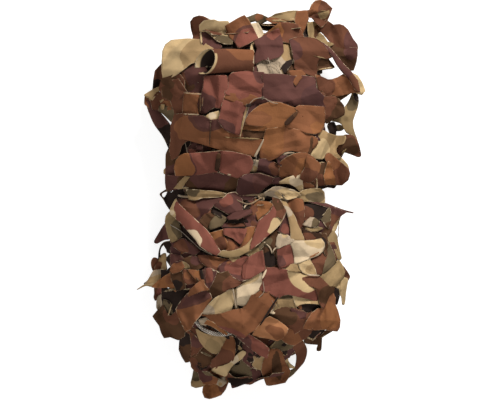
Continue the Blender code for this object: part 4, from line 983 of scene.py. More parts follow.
WAIST: tuple[LeafShape, ...] = (
    Cut(6, Print(I.ROSE, I.AMBER, (-72, 35), 16, .8), (-74, 39, -71, 43.5, -66, 46, -52, 47.3, -42, 48, -30,
        48.5, -18, 48, -8, 46, 0, 44, 3, 38, 2, 32, -1, 27.5, -5, 24, -12, 22.5, -20, 24.5, -30, 28.5, -40,
        28, -52, 26, -66, 24.5, -74, 24.5, -75.5, 32), (0, 1.4), (Crease(-31, 48, -32, 30, -4, 3),
        Crease(-60, 43, -40, 28.5, 3, 9), Crease(-50, 47, -40, 28.5, -2.4, 6), Crease(-26, 46, -6, 28, 1.4,
        9), Crease(-66, 46, -61, 26, 1.4, 6)), fold=.25),
    # Painted shadow: a dark strip laid over the fold's valley down this leaf.
    Strip((-31.6, 47.4), (-33.4, 29.4), 0, (3.4, 5, 4.6), 8.6, Print(I.BISTRE_AND_FOLD_SHADE, I.UMBER, (-32, 48), 6),
        fray=0),
    # Painted shadow: a near-black strip under the leaf's lower edge.
    Strip((-33, 29), (-19, 25.4), -1, (1, 2, 1), 4.5, I.SHADOW_BLACK),


    Strip((-28.5, 48), (-20.5, 48), 0, (1, 1.2, .8), 7.6, I.CREAM),
    Cut(-4, I.SHADOW_BLACK, (-76, 38, -73, 47, -70, 56, -64, 61, -56, 61, -42, 56, -26, 52, -30, 46, -45, 45, -60,
        43)),


    Cut(-.5, I.WINE, (-53, 56, -48, 55, -48, 48, -53.5, 49)),
    Cut(0, I.ROSE, (-61, 50.5, -50, 49.5, -49, 46, -61, 46)),
    Cut(-5, Print(I.WINE, I.UMBER, (-80, 44), 9), (-82, 51, -73, 50, -72, 40, -74.5, 32, -73, 24, -76, 11,
        -83.5, 10.5, -85, 20, -84, 33, -84, 46), (1, 0), (Crease(-80, 48, -79, 14, 2, 5),)),
    Cut(-9, I.TAN, (-82.5, 35, -86.5, 30, -86.5, 27, -83.5, 25)),
    Cut(2, Print(I.WINE, I.UMBER, (-64, 18), 9), (-85, 24.5, -60, 25, -62, 18, -70, 12, -78, 10.5, -83.5,
        10.5, -84.5, 17), (0, 1)),
    Sail(((-65.5, 24, 4), (-70.5, 19, 3.5), (-76.5, 11.8, 2)), ((-60, 23, 4), (-66, 14.5, 3.5), (-68, 11,
        2)), I.TAN, sag=-1),
    Strip((-70, 12), (-61.5, 11.8), 0, (1.4, 1.8, 1), 3.6, I.KHAKI),
    Sail(((-79, 11.6, -7), (-83, 11.6, -8), (-88, 9, -9), (-91.3, 6, -10), (-88.5, 2, -9), (-85, -3, -8),
        (-80, -10.5, -7)), ((-79, 8, -7), (-82, 8, -8), (-86, 8, -9), (-88.8, 6, -10), (-87.3, 3, -9), (-83,
        2.5, -8), (-76, -4, -6)), I.UMBER),
    Cut(-4, I.SHADOW_BLACK, (-79, 6.5, -75, 11, -66, 13, -60, 9.5, -63, 4, -60, 0, -67, -2, -73, -1, -76, -4, -80,
        -10, -84, -4, -86.5, 1, -84, 4.5, -83, 7.5)),
    Sail(((-65, 10.8, 6), (-55, 11, 7), (-45, 9.8, 7), (-36, 8.8, 8), (-24, 6.4, 7.5)), ((-62, .5, 6), (-55,
        0, 7), (-47, 2.4, 7.5), (-40, 2.2, 8), (-24, 2.8, 7.5)), Print(I.TAN, I.OLIVE, (-58, 8.6), 5,
        stretch=1.6), creases=(Crease(-61, 4.5, -46, 6.4, 1.6, 2), Crease(-46, 6.4, -30, 5, 1.6, 2)),
        fray=.5),
    Cut(1.5, Print(I.UMBER, I.WINE, (-40, 21), 12, stretch=1.7), (-61, 26, -52, 27, -38, 27, -20, 26, -9,
        23, -9, 13, -14, 7.5, -22, 6, -36, 8, -50, 9, -62, 9, -64, 14), (0, 1.5), (Crease(-56, 17, -22, 12,
        2, 6), Crease(-40, 26, -30, 10, -1.6, 6))),
    Cut(-2, I.SHADOW_BLACK, (-40, 29, -30, 31, -20, 28, -8, 25, -4, 20, -12, 20, -26, 23, -42, 24)),
    Cut(3, Print(I.WINE, I.CHESTNUT, (-62, -10), 11), (-75, 0, -66, 1.5, -56, 2, -48, 4.5, -40, 3.5, -24,
        5.5, -29, -1, -36, -5, -40, -9, -47, -18, -53, -23, -61, -15), (.5, 1), (Crease(-62, -4, -42, -8,
        1.8, 8),)),
    Cut(7, Print(I.WINE, I.ROSE, (-24, 0), 7), (-22, 6, -18, 7, -14.5, 7.3, -11, 3.5, -8, 0, -8.5, -5, -8,
        -10.5, -15, -12, -22, -14.5, -29, -10, -37, -5.5, -30, -.5), (-.5, .5), (Crease(-23, 5, -11, -3, 2,
        5), Crease(-32, -5, -14, 0, 1.4, 7)), fray=.4),
    Cut(2.5, I.SHADOW_BLACK, (-38, -6, -29, -10, -21, -14, -22, -19, -29, -17, -33, -14.5, -39, -12)),
    Cut(2, Print(I.CHESTNUT, I.UMBER, (-42, -22), 9), (-48, -17, -38, -7, -33, -13, -37, -22, -41, -31, -46,
        -27, -51, -22), (0, 1)),
    Cut(6.4, I.OLIVE, (-39.5, -22.3, -32.4, -14.3, -27.5, -16, -23.4, -18.3, -28.8, -25.7, -41.8, -30.2),
        fold=.3, fray=0),
    Cut(-1, I.SHADOW_BLACK, (-40, -22, -46, -30, -40, -34, -26, -33, -24, -22, -20, -16, -24, -14)),
    Cut(7.4, I.WINE, (-23, -18, -17, -13.5, -8, -10.4, 1, -9.4, 2, -12.4, -12, -19, -21, -19.5), (0, -1),
        fray=0),
    Cut(1, I.SHADOW_BLACK, (-23, -18.5, -10, -14.5, 5, -13, 6, -21, -10, -23, -22, -24)),
    Cut(3.5, Print(I.WINE, I.CHESTNUT, (-8, -23), 7, stretch=2), (-25, -22.5, -10, -22.5, 6, -19, 8, -28,
        -2, -29, -14, -28.5, -27, -29, -29, -25), (0, -1)),
    Cut(4.6, I.SHADOW_BLACK, (-27.4, -27.6, -15, -27.4, -2, -27.4, -5, -36, -10, -46.4, -12, -44, -6, -34, -10, -29,
        -26, -29.6), fray=0),
    Cut(7.6, I.ROSE, (-26.5, -29.4, -14, -29, -3.4, -29, -6.4, -37, -10.2, -44.2, -17, -38, -26.5, -34.5),
        (0, -1.5), (Crease(-26, -31, -6, -33, 1.6, 2.5), Crease(-17, -30, -10, -42, 1.6, 3)), fray=0),
    Cut(7.4, I.SHADOW_BLACK, (-7.4, -8.8, -5.6, -3.8, -2.6, -1.6, .4, -3.4, .6, -6.6, -3, -9), fray=0, fold=.1),
    Strip((-6, -8.2), (-1, -3.4), 1.2, (1.2, 1.5, 1.2), 8.6, I.STONE),
    Cut(4, Print(I.AMBER, I.CHESTNUT, (-30, -44), 7), (-41, -33.5, -33, -31.5, -26, -30, -27, -36, -23, -42,
        -23, -48, -28, -51, -33, -47, -36, -42), (0, -.5), (Crease(-38, -35, -26, -42, 1.6, 6),)),
    Cut(4.5, Print(I.CHESTNUT, I.RUST, (-22, -48), 7), (-27, -37, -20, -40, -14, -42, -10, -45, -10, -50,
        -18, -51.5, -27, -50.5, -25, -43), (.5, -1), (Crease(-24, -40, -16, -50, 1.6, 5),)),
    Cut(5, Print(I.RUST, I.AMBER, (-2, -34), 8), (-4, -28, 1, -27, 8, -28, 4, -38, 0, -42, -5, -46, -10,
        -49, -9, -44, -6, -36), (1, 0), (Crease(0, -28, -6, -46, 1.6, 5),)),
    Sail(((2, -38, 8), (-3, -44.5, 9), (-9, -48, 9), (-15, -50, 9), (-21, -50.8, 9), (-27, -50.2, 9), (-30,
        -52.5, 9)), ((2, -51, 8), (-5, -54.3, 9), (-11, -56.8, 9), (-18, -57.8, 9), (-25, -57.2, 9), (-29,
        -56.2, 9), (-32.5, -55, 9)), Print(I.KHAKI, I.TAN, (-2, -46), 8), sag=-1),
    Sail(((-73.5, -.5, 9), (-70, -4.3, 9), (-60, -14, 7.5), (-50, -24, 7.5), (-43, -31, 8), (-37, -39, 9),
        (-33, -46, 9.5), (-28.5, -51.5, 10)), ((-76.5, -7, 8), (-76, -17.5, 7.5), (-70, -23, 8.5), (-64,
        -30, 9.5), (-55, -40, 10.5), (-50, -47, 10.5), (-42, -52.5, 11), (-33, -56.3, 10)), Print(I.ROSE,
        I.CREAM, (-57, -38.8), 7.2, stretch=1.6, way=-50), sag=-1.2, creases=(Crease(-47, -26, -38, -44,
        1.8, 5), Crease(-68, -8, -60, -24, 1.2, 7)), fray=.45),
    Cut(9, Print(I.SAND, I.CREAM, (-79, -13), 3), (-73.5, 2, -74, -2, -76, -7, -76, -12, -75.5, -17.5, -78,
        -15.5, -80.5, -13, -79.5, -9, -77, -4), (-1, 0), crinkle=.5, rounding=1),
    Cut(0, Print(I.KHAKI, I.OLIVE, (-71, -30), 7, stretch=1.6, way=-70), (-81.5, -12.5, -79, -14.5, -75,
        -19, -72, -24, -70, -30, -69, -36, -73, -39.5, -78, -42, -81, -38, -83.5, -31, -85.5, -22, -84.5,
        -16.5), (-1, 0), (Crease(-84, -26, -72, -31, 1.2, 5), Crease(-78, -15, -77, -38, 1.5, 6))),
    Cut(-8, I.WINE, (-84.5, -23, -82, -31, -80, -37, -81.5, -39.3, -86, -39.8, -90, -41.8, -93, -43.8, -96,
        -42.8, -95, -40, -91, -33, -88, -27.5), (1, 1), rounding=1),
    Cut(-2, I.SHADOW_BLACK, (-80, -17, -64, -30, -50, -46, -44, -52, -52, -52, -60, -46, -70, -40, -74, -34, -76,
        -24)),
    Cut(9, Print(I.CHESTNUT, I.UMBER, (28, -4), 7), (23, 4, 27, 4, 31, -3, 35.5, -11, 33.5, -15, 32, -19.5,
        28, -16.5, 23, -19, 19, -15, 20, -10, 22.5, -4), (0, 0), (Crease(26, 2, 27, -16, 1.4, 5),)),
    Sail(((24, 2, 8.5), (21, -9, 9), (15, -15, 9), (9, -20, 9), (6.5, -27, 9), (3.5, -36, 9.5), (0, -44,
        10)), ((31, 0, 7), (35.5, -12, 7.5), (33, -21, 8), (27, -29, 9), (18, -36.5, 9.5), (10, -43.5, 10),
        (0, -50.3, 10.5)), Print(I.ROSE, I.SAND, (25.5, -25.5), 5.6, stretch=1.8, way=57),
        creases=(Crease(5, -46, 24, -12, 1.6, 6),), fray=.45, sag=-1),
    Cut(5, I.AMBER, (5, 1, 8, -1.5, 20, -2.5, 23, -5, 20, -10, 14, -15, 8, -20.5, 7, -14, 5, -7), (1, 1),
        (Crease(18, -3, 9, -18, 1.5, 5),)),
    Cut(3.5, Print(I.WINE, I.CHESTNUT, (2, -8), 7), (-2, 0, 5, 0, 7, -8, 9, -19.5, 6.5, -28, -2, -27, -6,
        -20, -4, -10)),
    Sail(((29.5, -.5, 5), (31.5, -7, 6), (35.5, -12, 7), (38, -18, 7), (40, -26, 7), (41, -34, 7), (40.5,
        -40.5, 6)), ((36, -1, 5), (39, -7, 6), (42.5, -12, 6), (45.5, -17, 6), (48.5, -24, 6), (51.5, -30,
        6), (56.5, -41.5, 5)), Print(I.TAN, I.STONE, (37, -12), 6), creases=(Crease(34, -4, 38, -14, 1.6,
        4), Crease(40, -18, 50, -38, 1.2, 5)), sag=-1),
    Cut(3, Print(I.CHESTNUT, I.RUST, (46, -4), 9), (33, 1, 45, 2, 53, 1, 54, -10, 53.5, -22, 54, -34, 50,
        -28, 45, -18, 41, -12, 37, -7), (1, 1), (Crease(46, 0, 51, -26, 1.8, 6),)),
    Cut(4, Print(I.WINE, I.ROSE, (36, -29), 5), (34, -13.5, 37.5, -18, 40, -24, 40.7, -31, 40, -38, 36,
        -34.5, 32, -32.5, 28, -31, 32, -24), (1, 0)),
    Cut(4.5, Print(I.STONE, I.SAND, (35, -35), 3), (28.5, -34.5, 33, -33.3, 38, -36, 44, -40.5, 40, -43.5,
        34, -45, 28, -48, 26.5, -45, 27, -38), (1, 0), (Crease(29, -36, 42, -41, 1.4, 4),), fray=.6),
    Cut(1.5, Print(I.UMBER, I.OLIVE, (16, -42), 6), (17, -37.5, 25, -30, 30, -31, 28.5, -40, 27.5, -48, 24,
        -53.5, 20, -52, 17, -47, 14, -43.5, 12, -41)),
    Cut(2, Print(I.UMBER, I.SHADOW_BLACK, (19, -60), 8), (12.5, -43, 17, -46, 21, -53, 25, -54, 29, -50, 30, -60,
        31.5, -66.5, 24, -68.3, 15, -70, 13, -60, 11.5, -52)),
    Strip((16, -44), (22.5, -53.5), 1.5, (1, 1.2, 1), 4, I.STONE),
    Strip((22.5, -53.5), (28, -48), 1.5, (1, 1.2, 1), 4, I.STONE),
    Cut(6, Print(I.OLIVE, I.KHAKI, (3, -52), 6), (15.5, -42, 10, -44, 0, -50.5, -5, -53.5, 0, -56.5, 4,
        -55.5, 9, -51.5, 13, -47), fray=.7),
    Cut(6, Print(I.PLUM, I.WINE, (12, 18), 10), (-6, 25, 0, 26, 10, 26, 23, 22, 21, 17, 14, 12, 8, 6, 2, 1,
        -8, 1, -14, 7, -12, 20), (0, 1), (Crease(-6, 20, 14, 14, 1.8, 7), Crease(4, 24, -4, 8, 1.4, 6))),
    Cut(3, Print(I.CHESTNUT, I.PLUM, (26, 20), 5), (20, 21, 30, 23, 40, 25, 51.5, 25, 47, 22, 38, 19, 30,
        16, 21, 17), (0, 2)),
    Cut(5.5, Print(I.SAND, I.CREAM, (46, 20), 7), (29, 17, 36, 21, 44, 24, 51, 26, 53, 15, 53.5, 7.5, 50,
        9.5, 46, 13.5, 40, 16.5), (-1, 1), (Crease(30, 18, 52, 14, 1.6, 4),), fray=.4, rounding=1),
    Cut(0, I.SHADOW_BLACK, (16, 12, 22, 18, 30, 18, 40, 16, 50, 10, 46, 8, 38, 10, 28, 11)),
    Cut(7.5, Print(I.STONE, I.SAND, (38, 5), 7, stretch=1.8), (13, 6, 19, 9.5, 24, 12.3, 30, 12.8, 38, 11.5,
        46, 8.5, 51, 5.5, 45, 3, 38, 1, 30, 1.5, 24, 3, 18, 4.5), (0, -1), (Crease(18, 7, 48, 6, 1.6, 4),),
        fray=.6, fold=.2),
    Strip((38, 10.6), (46, 8.6), 0, (1.2, 1.8, 1), 9, I.CREAM),
    Cut(3, Print(I.KHAKI, I.OLIVE, (66, 3), 5, stretch=2), (48, 6, 53, 9.5, 60, 10.5, 66, 11, 71, 10.5, 74,
        8, 74.5, 2, 74.5, -3, 68, -2.5, 60, -1, 52, -1, 44, .5), (0, 0), (Crease(52, 4, 72, 6, 1.4, 5),),
        fray=.5),
    Cut(1, Print(I.CHESTNUT, I.RUST, (58, 14), 4.5, stretch=1.6), (50, 23, 60, 21, 66, 20, 67, 15, 66.5,
        9.5, 54, 9, 51, 12)),
    Strip((67.5, 21), (67, 9), 0, (1, 1.4, 1.2), 2, I.KHAKI),
    Cut(-3, I.SHADOW_BLACK, (64, 21, 70, 19.5, 78, 18, 87, 15, 85, 12, 78, 13, 73, 11.5, 70, 9, 66, 9)),
    Cut(5.5, Print(I.BISTRE_AND_FOLD_SHADE, I.CHESTNUT, (58, -38), 5, stretch=1.5), (52.5, -28.5, 56, -31, 62, -33, 68,
        -33.5, 71, -34, 71, -39, 66, -42, 60, -42, 55.5, -40.5, 52.5, -35), (0, 1)),
    Cut(5.2, I.KHAKI, (55.5, -27.5, 62, -28.5, 68, -27.5, 73.5, -28.5, 68, -31.5, 62, -31.5, 58, -30.3),
        curl=.3),
    Cut(4, Print(I.STONE, I.OLIVE, (67, -24), 5, stretch=1.6, way=60), (53.5, -24, 58, -19.5, 60.5, -17.5,
        65, -18.5, 69.5, -22, 68, -27.5, 62, -26.5, 57, -25.5), crinkle=2.4, fray=.8),
    Cut(0, Print(I.SHADOW_BLACK, I.CHESTNUT, (57, -13), 7), (52, -2, 58, -2, 66, -4, 79, -6, 76, -13, 71, -18.5, 64,
        -19, 58, -20, 53, -23, 51, -14), crinkle=2),
    Cut(-2, I.SHADOW_BLACK, (64, -5, 80, -7, 77, -16, 72, -24, 66, -20, 62, -12)),
    Sail(((53, .5, 3), (66, -1.2, 2), (76, -2.8, 0), (85, -6, -2), (95, -9.8, -3), (104.3, -12.6, -4)),
        ((60, -3, 3), (70, -5.5, 2), (78, -7.5, 0), (86, -10.5, -2), (95, -12.3, -3), (104.3, -14, -4)),
        I.WINE, sag=-1),
    Cut(-1, Print(I.WINE, I.CHESTNUT, (84, -20), 6), (79, -6, 88, -9, 96, -12, 92.5, -14, 89.5, -17, 86.5,
        -21, 83.5, -26, 82, -31, 78, -26, 78, -12), (1, 0), (Crease(82, -8, 82, -28, 1.6, 5),)),
    Cut(3, Print(I.OLIVE, I.UMBER, (79, -26), 4), (71.5, -18, 76, -13, 79.5, -7.5, 81, -12, 81, -20, 79.5,
        -28, 76, -24.5), (1, 0), fray=.5),
    Cut(1.5, Print(I.PLUM, I.UMBER, (78, -32), 5), (69, -19, 74, -21, 79, -28, 82, -31, 78, -36, 70, -35,
        66, -28)),
    Cut(-4, I.SAND, (91.5, -14.5, 90, -20, 87.5, -26, 85.5, -31, 83, -31, 82.5, -25, 85.5, -19, 88.5, -15),
        rounding=1),
    Cut(-3, I.KHAKI, (76.5, -35, 82, -32.5, 84.5, -31.5, 87.5, -36, 88.5, -44, 90, -52, 91.3, -58, 89, -61,
        86, -52, 83, -44, 80, -43, 79, -48)),
    Cut(-1.5, Print(I.CHESTNUT, I.WINE, (84, -50), 5), (79.5, -43, 84, -42.5, 87, -49, 88.5, -56, 87, -63,
        83, -61, 81, -52)),
    Strip((89.6, -20), (88, -38), .6, (.8, .8, .8), -3.4, I.UMBER),
)


BELLY: tuple[LeafShape, ...] = (
    Cut(1.5, Print(I.WINE, I.CHESTNUT, (-70, -48), 8), (-80, -41, -72, -39, -66, -39, -58, -45, -50, -51,
        -55, -55, -63, -52, -70, -51, -77, -46), (0, -1)),
    Sail(((-79, -40.5, -8), (-86, -42.3, -9), (-89.5, -46, -10), (-91.5, -52, -11), (-92.5, -60, -11)),
        ((-79, -46, -8), (-84.5, -45.5, -9), (-87.5, -46.5, -10), (-89.7, -52, -11), (-89.5, -60, -11)),
        I.SHADOW_BLACK),
    Cut(-7, I.SHADOW_BLACK, (-87, -43, -79, -41, -77, -56, -81, -53, -83.5, -52, -84, -49.5, -86.5, -45)),
    Cut(-10, Print(I.TAN, I.CHESTNUT, (-94, -66), 5.5), (-89.5, -56, -85, -53.5, -84.3, -58, -84.8, -63,
        -84, -71, -88, -71.5, -96.5, -71.5, -95, -67, -91, -62), (1, 0), rounding=1),
    Cut(-12, I.CHESTNUT, (-98, -59, -96, -58, -92, -60, -90, -58, -88, -60, -91, -65, -94, -70, -96.8,
        -71.5, -98.8, -66, -99.2, -62), rounding=1),
    Cut(-5, I.SHADOW_BLACK, (-89, -70.5, -83, -71.5, -80.5, -68.5, -79, -73, -85, -78, -89, -80)),
    Cut(-6, Print(I.STONE, I.TAN, (-92, -82), 7, stretch=1.6), (-97, -71.5, -88, -70, -87, -77, -90, -81.5,
        -96, -85, -105, -85.5, -106, -84, -103, -82, -101, -79, -99, -75), (0, 0), (Crease(-98, -74, -92,
        -84, 1.4, 6),)),
    Sail(((-87, -78, -4), (-93, -82, -5), (-100, -84.3, -6), (-106, -84.3, -7), (-113.6, -89.3, -8)), ((-85,
        -80, -4), (-92, -85, -5), (-99, -87.3, -6), (-105, -86.3, -7), (-113.6, -90.3, -8)), I.KHAKI),
    Cut(0, Print(I.AMBER, I.RUST, (-80, -80), 5), (-79, -73, -86, -77, -91, -80.5, -96, -85, -98.5, -87.3,
        -90, -87.5, -81, -87, -77.5, -89.5, -75, -92, -74, -84, -77, -78), (-1, -1), (Crease(-80, -76, -90,
        -86, 1.8, 5),)),
    Cut(2.5, Print(I.RUST, I.WINE, (-74, -58), 6), (-80, -71, -78, -66, -73, -62.5, -68, -62, -66, -67, -70,
        -71.5, -78, -74)),
    Cut(0, I.WINE, (-80, -54, -70, -56, -66, -60, -69, -64, -76, -68, -80, -70), (1, 0), (Crease(-78, -56,
        -74, -68, 1.6, 4),)),
    Cut(1.5, Print(I.UMBER, I.SHADOW_BLACK, (-74, -86), 6), (-80, -72, -70, -68, -65, -71, -66, -89, -74, -91, -79,
        -80), (1, 0)),
    Cut(4.5, Print(I.OLIVE, I.KHAKI, (-65, -65), 4, stretch=1.5), (-70.5, -61, -65, -63, -60, -64, -57, -71,
        -62, -71.5, -67, -69), (0, -.5), fray=0),
    Cut(3, Print(I.UMBER, I.WINE, (-54, -60), 6), (-67, -59, -57, -56, -50, -59, -44, -64, -48, -67, -53,
        -70, -58, -71, -61, -64.5), (0, -1), (Crease(-64, -60, -52, -68, 1.6, 5),)),
    Cut(3, Print(I.CHESTNUT, I.RUST, (-63, -76), 4), (-67, -70, -61, -72, -52, -82, -46, -89, -56, -84, -64,
        -85, -67, -78), (0, 1)),
    Sail(((-66, -68.5, 4), (-60, -76, 4), (-52, -84, 4.5), (-46.5, -89.5, 5)), ((-61.5, -70, 5), (-57, -75,
        5), (-50, -83, 5), (-44.5, -89, 5)), I.UMBER, fray=0),
    Cut(4.5, Print(I.RUST, I.AMBER, (-52, -74), 4), (-62, -70, -55, -70.5, -49.5, -71, -47, -80, -44.5, -88,
        -48, -86, -54, -80), (-1, 0)),
    Sail(((-51, -70.5, 5), (-48.5, -80, 5), (-45, -88.5, 5)), ((-47.5, -70, 5), (-45.5, -79, 5), (-43.5,
        -88, 5)), I.SHADOW_BLACK, fray=0),
    Sail(((-48, -69.5, 5.6), (-46, -79, 5.6), (-43.6, -88.5, 5.6)), ((-45.5, -69.5, 6), (-44, -79, 6),
        (-42.6, -88.5, 6)), I.WINE, fray=0),
    Cut(5, Print(I.WINE, I.ROSE, (-42, -76), 5, stretch=1.6, way=80), (-46, -69, -40, -68.8, -34, -71.5,
        -36.5, -80, -41, -89, -43, -91, -44, -80), (1, 0)),
    Cut(3.5, I.WINE, (-67, -86, -60, -82.5, -54, -84, -56, -89, -62, -89.5)),
    Cut(5, Print(I.UMBER, I.CHESTNUT, (-19, -84), 7, stretch=1.5, way=30), (-37, -71, -30, -74.5, -22, -72,
        -19, -76.5, -9, -80, -1, -79, -12, -85.5, -20, -88.5, -28, -93.5, -33, -96.5, -39, -98, -43, -92,
        -39, -80), (.5, 1), (Crease(-22, -73, -19, -88, 1.8, 5), Crease(-36, -76, -32, -94, 1.4, 7))),
    Cut(6, Print(I.WINE, I.ROSE, (-8, -66), 11, stretch=1.5), (-30, -73, -31, -67, -22, -60.5, -14, -58.5,
        -4, -56, 2, -58, 2, -78, -8, -81, -16, -77.5, -22, -73), (0, -.5), (Crease(-28, -68, 0, -64, 1.8,
        7), Crease(-14, -60, -6, -78, 1.4, 6)), fray=.4),
    Cut(4, Print(I.CHESTNUT, I.RUST, (-30, -60), 7, stretch=1.6), (-52, -56, -40, -56.5, -28, -59, -12, -60,
        -20, -63.5, -27, -68.5, -33, -71, -38, -69.5, -44, -66.5, -49, -62), (0, -1), (Crease(-48, -60, -22,
        -63, 1.6, 5),)),
    Strip((-38, -70), (-30.5, -73.3), 0, (.8, 1, .8), 6, I.CREAM),
    Cut(5, Print(I.TAN, I.KHAKI, (-13, -61), 3), (-21, -57.5, -11, -57, -11, -62, -15, -64.8, -19.5, -62.5),
        fray=.5),
    Cut(-3, I.SHADOW_BLACK, (-50, -49, -36, -55, -20, -58, -4, -56, 4, -50, 6, -58, -8, -62, -30, -61, -50, -58)),
    Cut(5, Print(I.RUST, I.WINE, (-53, -97.5), 5.5, 1, stretch=3, way=24), (-43, -90.5, -50, -89, -58,
        -90.5, -64, -95.5, -70, -103, -74, -110, -71, -118, -67, -127, -64.5, -132, -60, -129.5, -55.5,
        -122, -50, -116, -44, -107, -39, -99, -41, -93), (-1, -.5), (Crease(-74, -109, -64, -131, 2.4, 5),
        Crease(-59, -94, -54, -121, 2, 6), Crease(-68, -104, -58, -128, -1.4, 5)), fray=.4),
    Cut(6, I.RUST, (-60, -90, -54, -84.5, -49, -81, -45, -87, -41.5, -90.5, -48, -91, -56, -94, -62, -96.5),
        (0, -1)),
    Cut(-4, I.SHADOW_BLACK, (-88, -88, -75, -91, -58, -88, -60, -98, -68, -104, -73, -112, -80, -117, -87, -110,
        -88, -100)),
    Cut(-2, Print(I.OLIVE, I.SHADOW_BLACK, (-80, -100), 4), (-87, -100, -82, -102, -79, -107, -79, -116, -84,
        -116.5, -88, -108)),
    Strip((-86, -92), (-58, -90.5), 2, (1.4, 1.8, 1), 1, I.OLIVE),
    Strip((-82, -116.4), (-78, -105), 0, (.8, 1, .8), 0, I.TAN),
    Cut(-9, Print(I.CHESTNUT, I.ROSE, (-89, -93), 5), (-95.5, -87.5, -85, -88, -85.5, -97, -91, -97.5,
        -95.5, -101, -96.5, -98, -95.5, -94)),
    Cut(-8.5, I.STONE, (-91.5, -96.5, -88, -95, -87, -101, -88, -105.5, -92, -111, -94, -109, -93.5, -101),
        rounding=1),
    Cut(-2, Print(I.UMBER, I.CHESTNUT, (-78, -116), 9), (-97.5, -117, -93, -111, -88, -105.5, -85, -112,
        -80, -117, -73, -111, -69, -118, -65, -129, -66, -137, -72, -140.5, -80, -137, -86, -138, -88.5,
        -133, -90.5, -126, -94.5, -121), (1, .5), (Crease(-94, -117, -70, -124, 2, 8), Crease(-86, -110,
        -80, -136, 1.4, 7))),
    Cut(3, Print(I.SAND, I.STONE, (-44, -112), 8), (-12.5, -90, -20, -91, -27, -94, -36, -99, -42, -105,
        -49, -114.5, -40, -115, -28, -114, -20, -112, -17, -105, -12, -100), (0, 0), (Crease(-36, -99, -42,
        -113, 1.6, 5), Crease(-18, -94, -34, -110, -1.3, 6)), fray=.5),
    Cut(4.5, Print(I.CREAM, I.SAND, (0, -78), 6, stretch=1.6, way=30), (-13, -86.5, -7, -83.5, 0, -80, 11,
        -71.5, 13, -80, 12.5, -84, 9, -90, 3, -96, 1, -100, -3, -107, -12.5, -105), (0, -.5), (Crease(-4,
        -84, 2, -98, 1.4, 6),), crinkle=.8, fray=.6),
    Cut(2, Print(I.SAND, I.SHADOW_BLACK, (-8, -107), 4), (-16, -104, -4, -103, -2, -110, -14, -112)),
    Strip((-17, -88), (-14, -110), 0, (1.4, 1.6, 1.2), 3.8, I.STONE),
    Cut(-2, I.SHADOW_BLACK, (-42, -97, -20, -88, -8, -80, 14, -70, 18, -84, 8, -94, 4, -108, -14, -112, -22, -100)),
    Cut(6, Print(I.RUST, I.ROSE, (-20, -137), 8.5, stretch=2, way=-20), (-52, -115.5, -40, -115.5, -28,
        -114, -18, -111, -8, -110, -2, -104, 2, -96, 6, -94.5, 12, -90.5, 20, -92.5, 29, -97.5, 21, -110,
        12, -122.5, 5, -130.5, 0, -133.5, -6, -139, -14, -135.5, -22, -132, -30, -127.5, -40, -120.5, -45,
        -116.5), (0, -.6), (Crease(4, -95, -10, -134, 1.8, 9), Crease(-14, -112, -24, -130, 1.5, 8),
        Crease(16, -92, 2, -126, -1.4, 7)), crinkle=1.6),
    Cut(0, I.SHADOW_BLACK, (-53, -116, -40, -114, -20, -126, -10, -136, -22, -139, -40, -128, -56, -124)),
    Cut(1.5, I.STONE, (-52, -121, -45, -119, -40, -121, -45, -126, -50, -125)),
    Sail(((-44, -120.5, 4), (-38, -122.5, 5), (-30, -128, 5), (-22, -134, 5)), ((-47, -125, 3), (-40, -127,
        4), (-32, -131.5, 4), (-24, -136, 4)), I.AMBER),
    Cut(6, I.ROSE, (-2, -58, 6, -53.5, 12, -51, 13.5, -58, 15.5, -69.5, 11, -72.5, 0, -78.5, -8, -80, -7,
        -66), (.5, -.5), (Crease(0, -60, 10, -72, 1.6, 7),)),
    Cut(5, Print(I.ROSE, I.WINE, (30, -62), 6), (28, -47.5, 34, -45, 39, -43, 42.5, -47, 45, -53, 45, -60,
        43, -64.5, 36, -67.5, 30, -68.5, 28, -64, 28, -56), (0, -.5), (Crease(38, -46, 34, -66, 1.8, 7),)),
    Cut(6.5, Print(I.CREAM, I.SAND, (66, -41), 7, stretch=1.6), (40, -42.5, 45, -41, 55, -41.5, 64, -41, 69,
        -39.5, 71, -39, 74, -43, 74.5, -47, 72.5, -51.5, 68, -55.5, 60, -59, 52, -62, 45.5, -63.5, 44.8,
        -56, 43, -49), (0, -.5), (Crease(46, -43, 51, -62, 1.6, 5), Crease(54, -42, 56, -60, 1.4, 5),
        Crease(60, -46, 72, -46, -1, 5)), crinkle=.8, fray=.5),
    Strip((60, -58), (70, -52), 0, (1.2, 2, 1), 7, I.AMBER),
    Cut(4.5, I.TAN, (31, -67.5, 45, -64, 49, -62.5, 53, -71, 45, -71.5, 38, -70)),
    Cut(5, Print(I.SAND, I.TAN, (62, -70), 6), (48, -63, 55, -61.5, 60, -59.5, 62, -63.5, 64.5, -68, 66,
        -74, 58, -75, 53, -72.5, 50.5, -69), (0, 0), fray=.5),
    Cut(5, Print(I.ROSE, I.SAND, (53.5, -82), 8.4, stretch=2, way=-25), (15, -69, 24, -68.5, 34, -69.5, 44,
        -71.5, 52, -73.5, 58, -75.5, 66, -77.5, 68, -90, 67, -102, 60, -99.8, 50, -97.3, 43, -95.3, 38,
        -94.3, 32, -95.7, 28, -98.7, 20, -94, 9, -90, 12.5, -84, 13.5, -78, 14, -73), (0, 0), (Crease(36,
        -70, 34, -94, 2, 7), Crease(14, -76, 34, -74, 1.6, 5), Crease(18, -90, 40, -84, -1.4, 7)),
        crinkle=1.5),
    Cut(7.5, Print(I.CHESTNUT, I.UMBER, (80, -96), 11), (56.4, -77.4, 60, -75.8, 66, -76.5, 70, -77.5, 80,
        -87.5, 85, -88, 84, -93, 80, -96, 77, -103, 74, -109, 71, -104, 69, -95, 66.5, -88, 59.5, -85.6,
        53.6, -82, 52.6, -78.6), (1, -1), (Crease(60, -80, 76, -98, 1.8, 6),), fray=0),
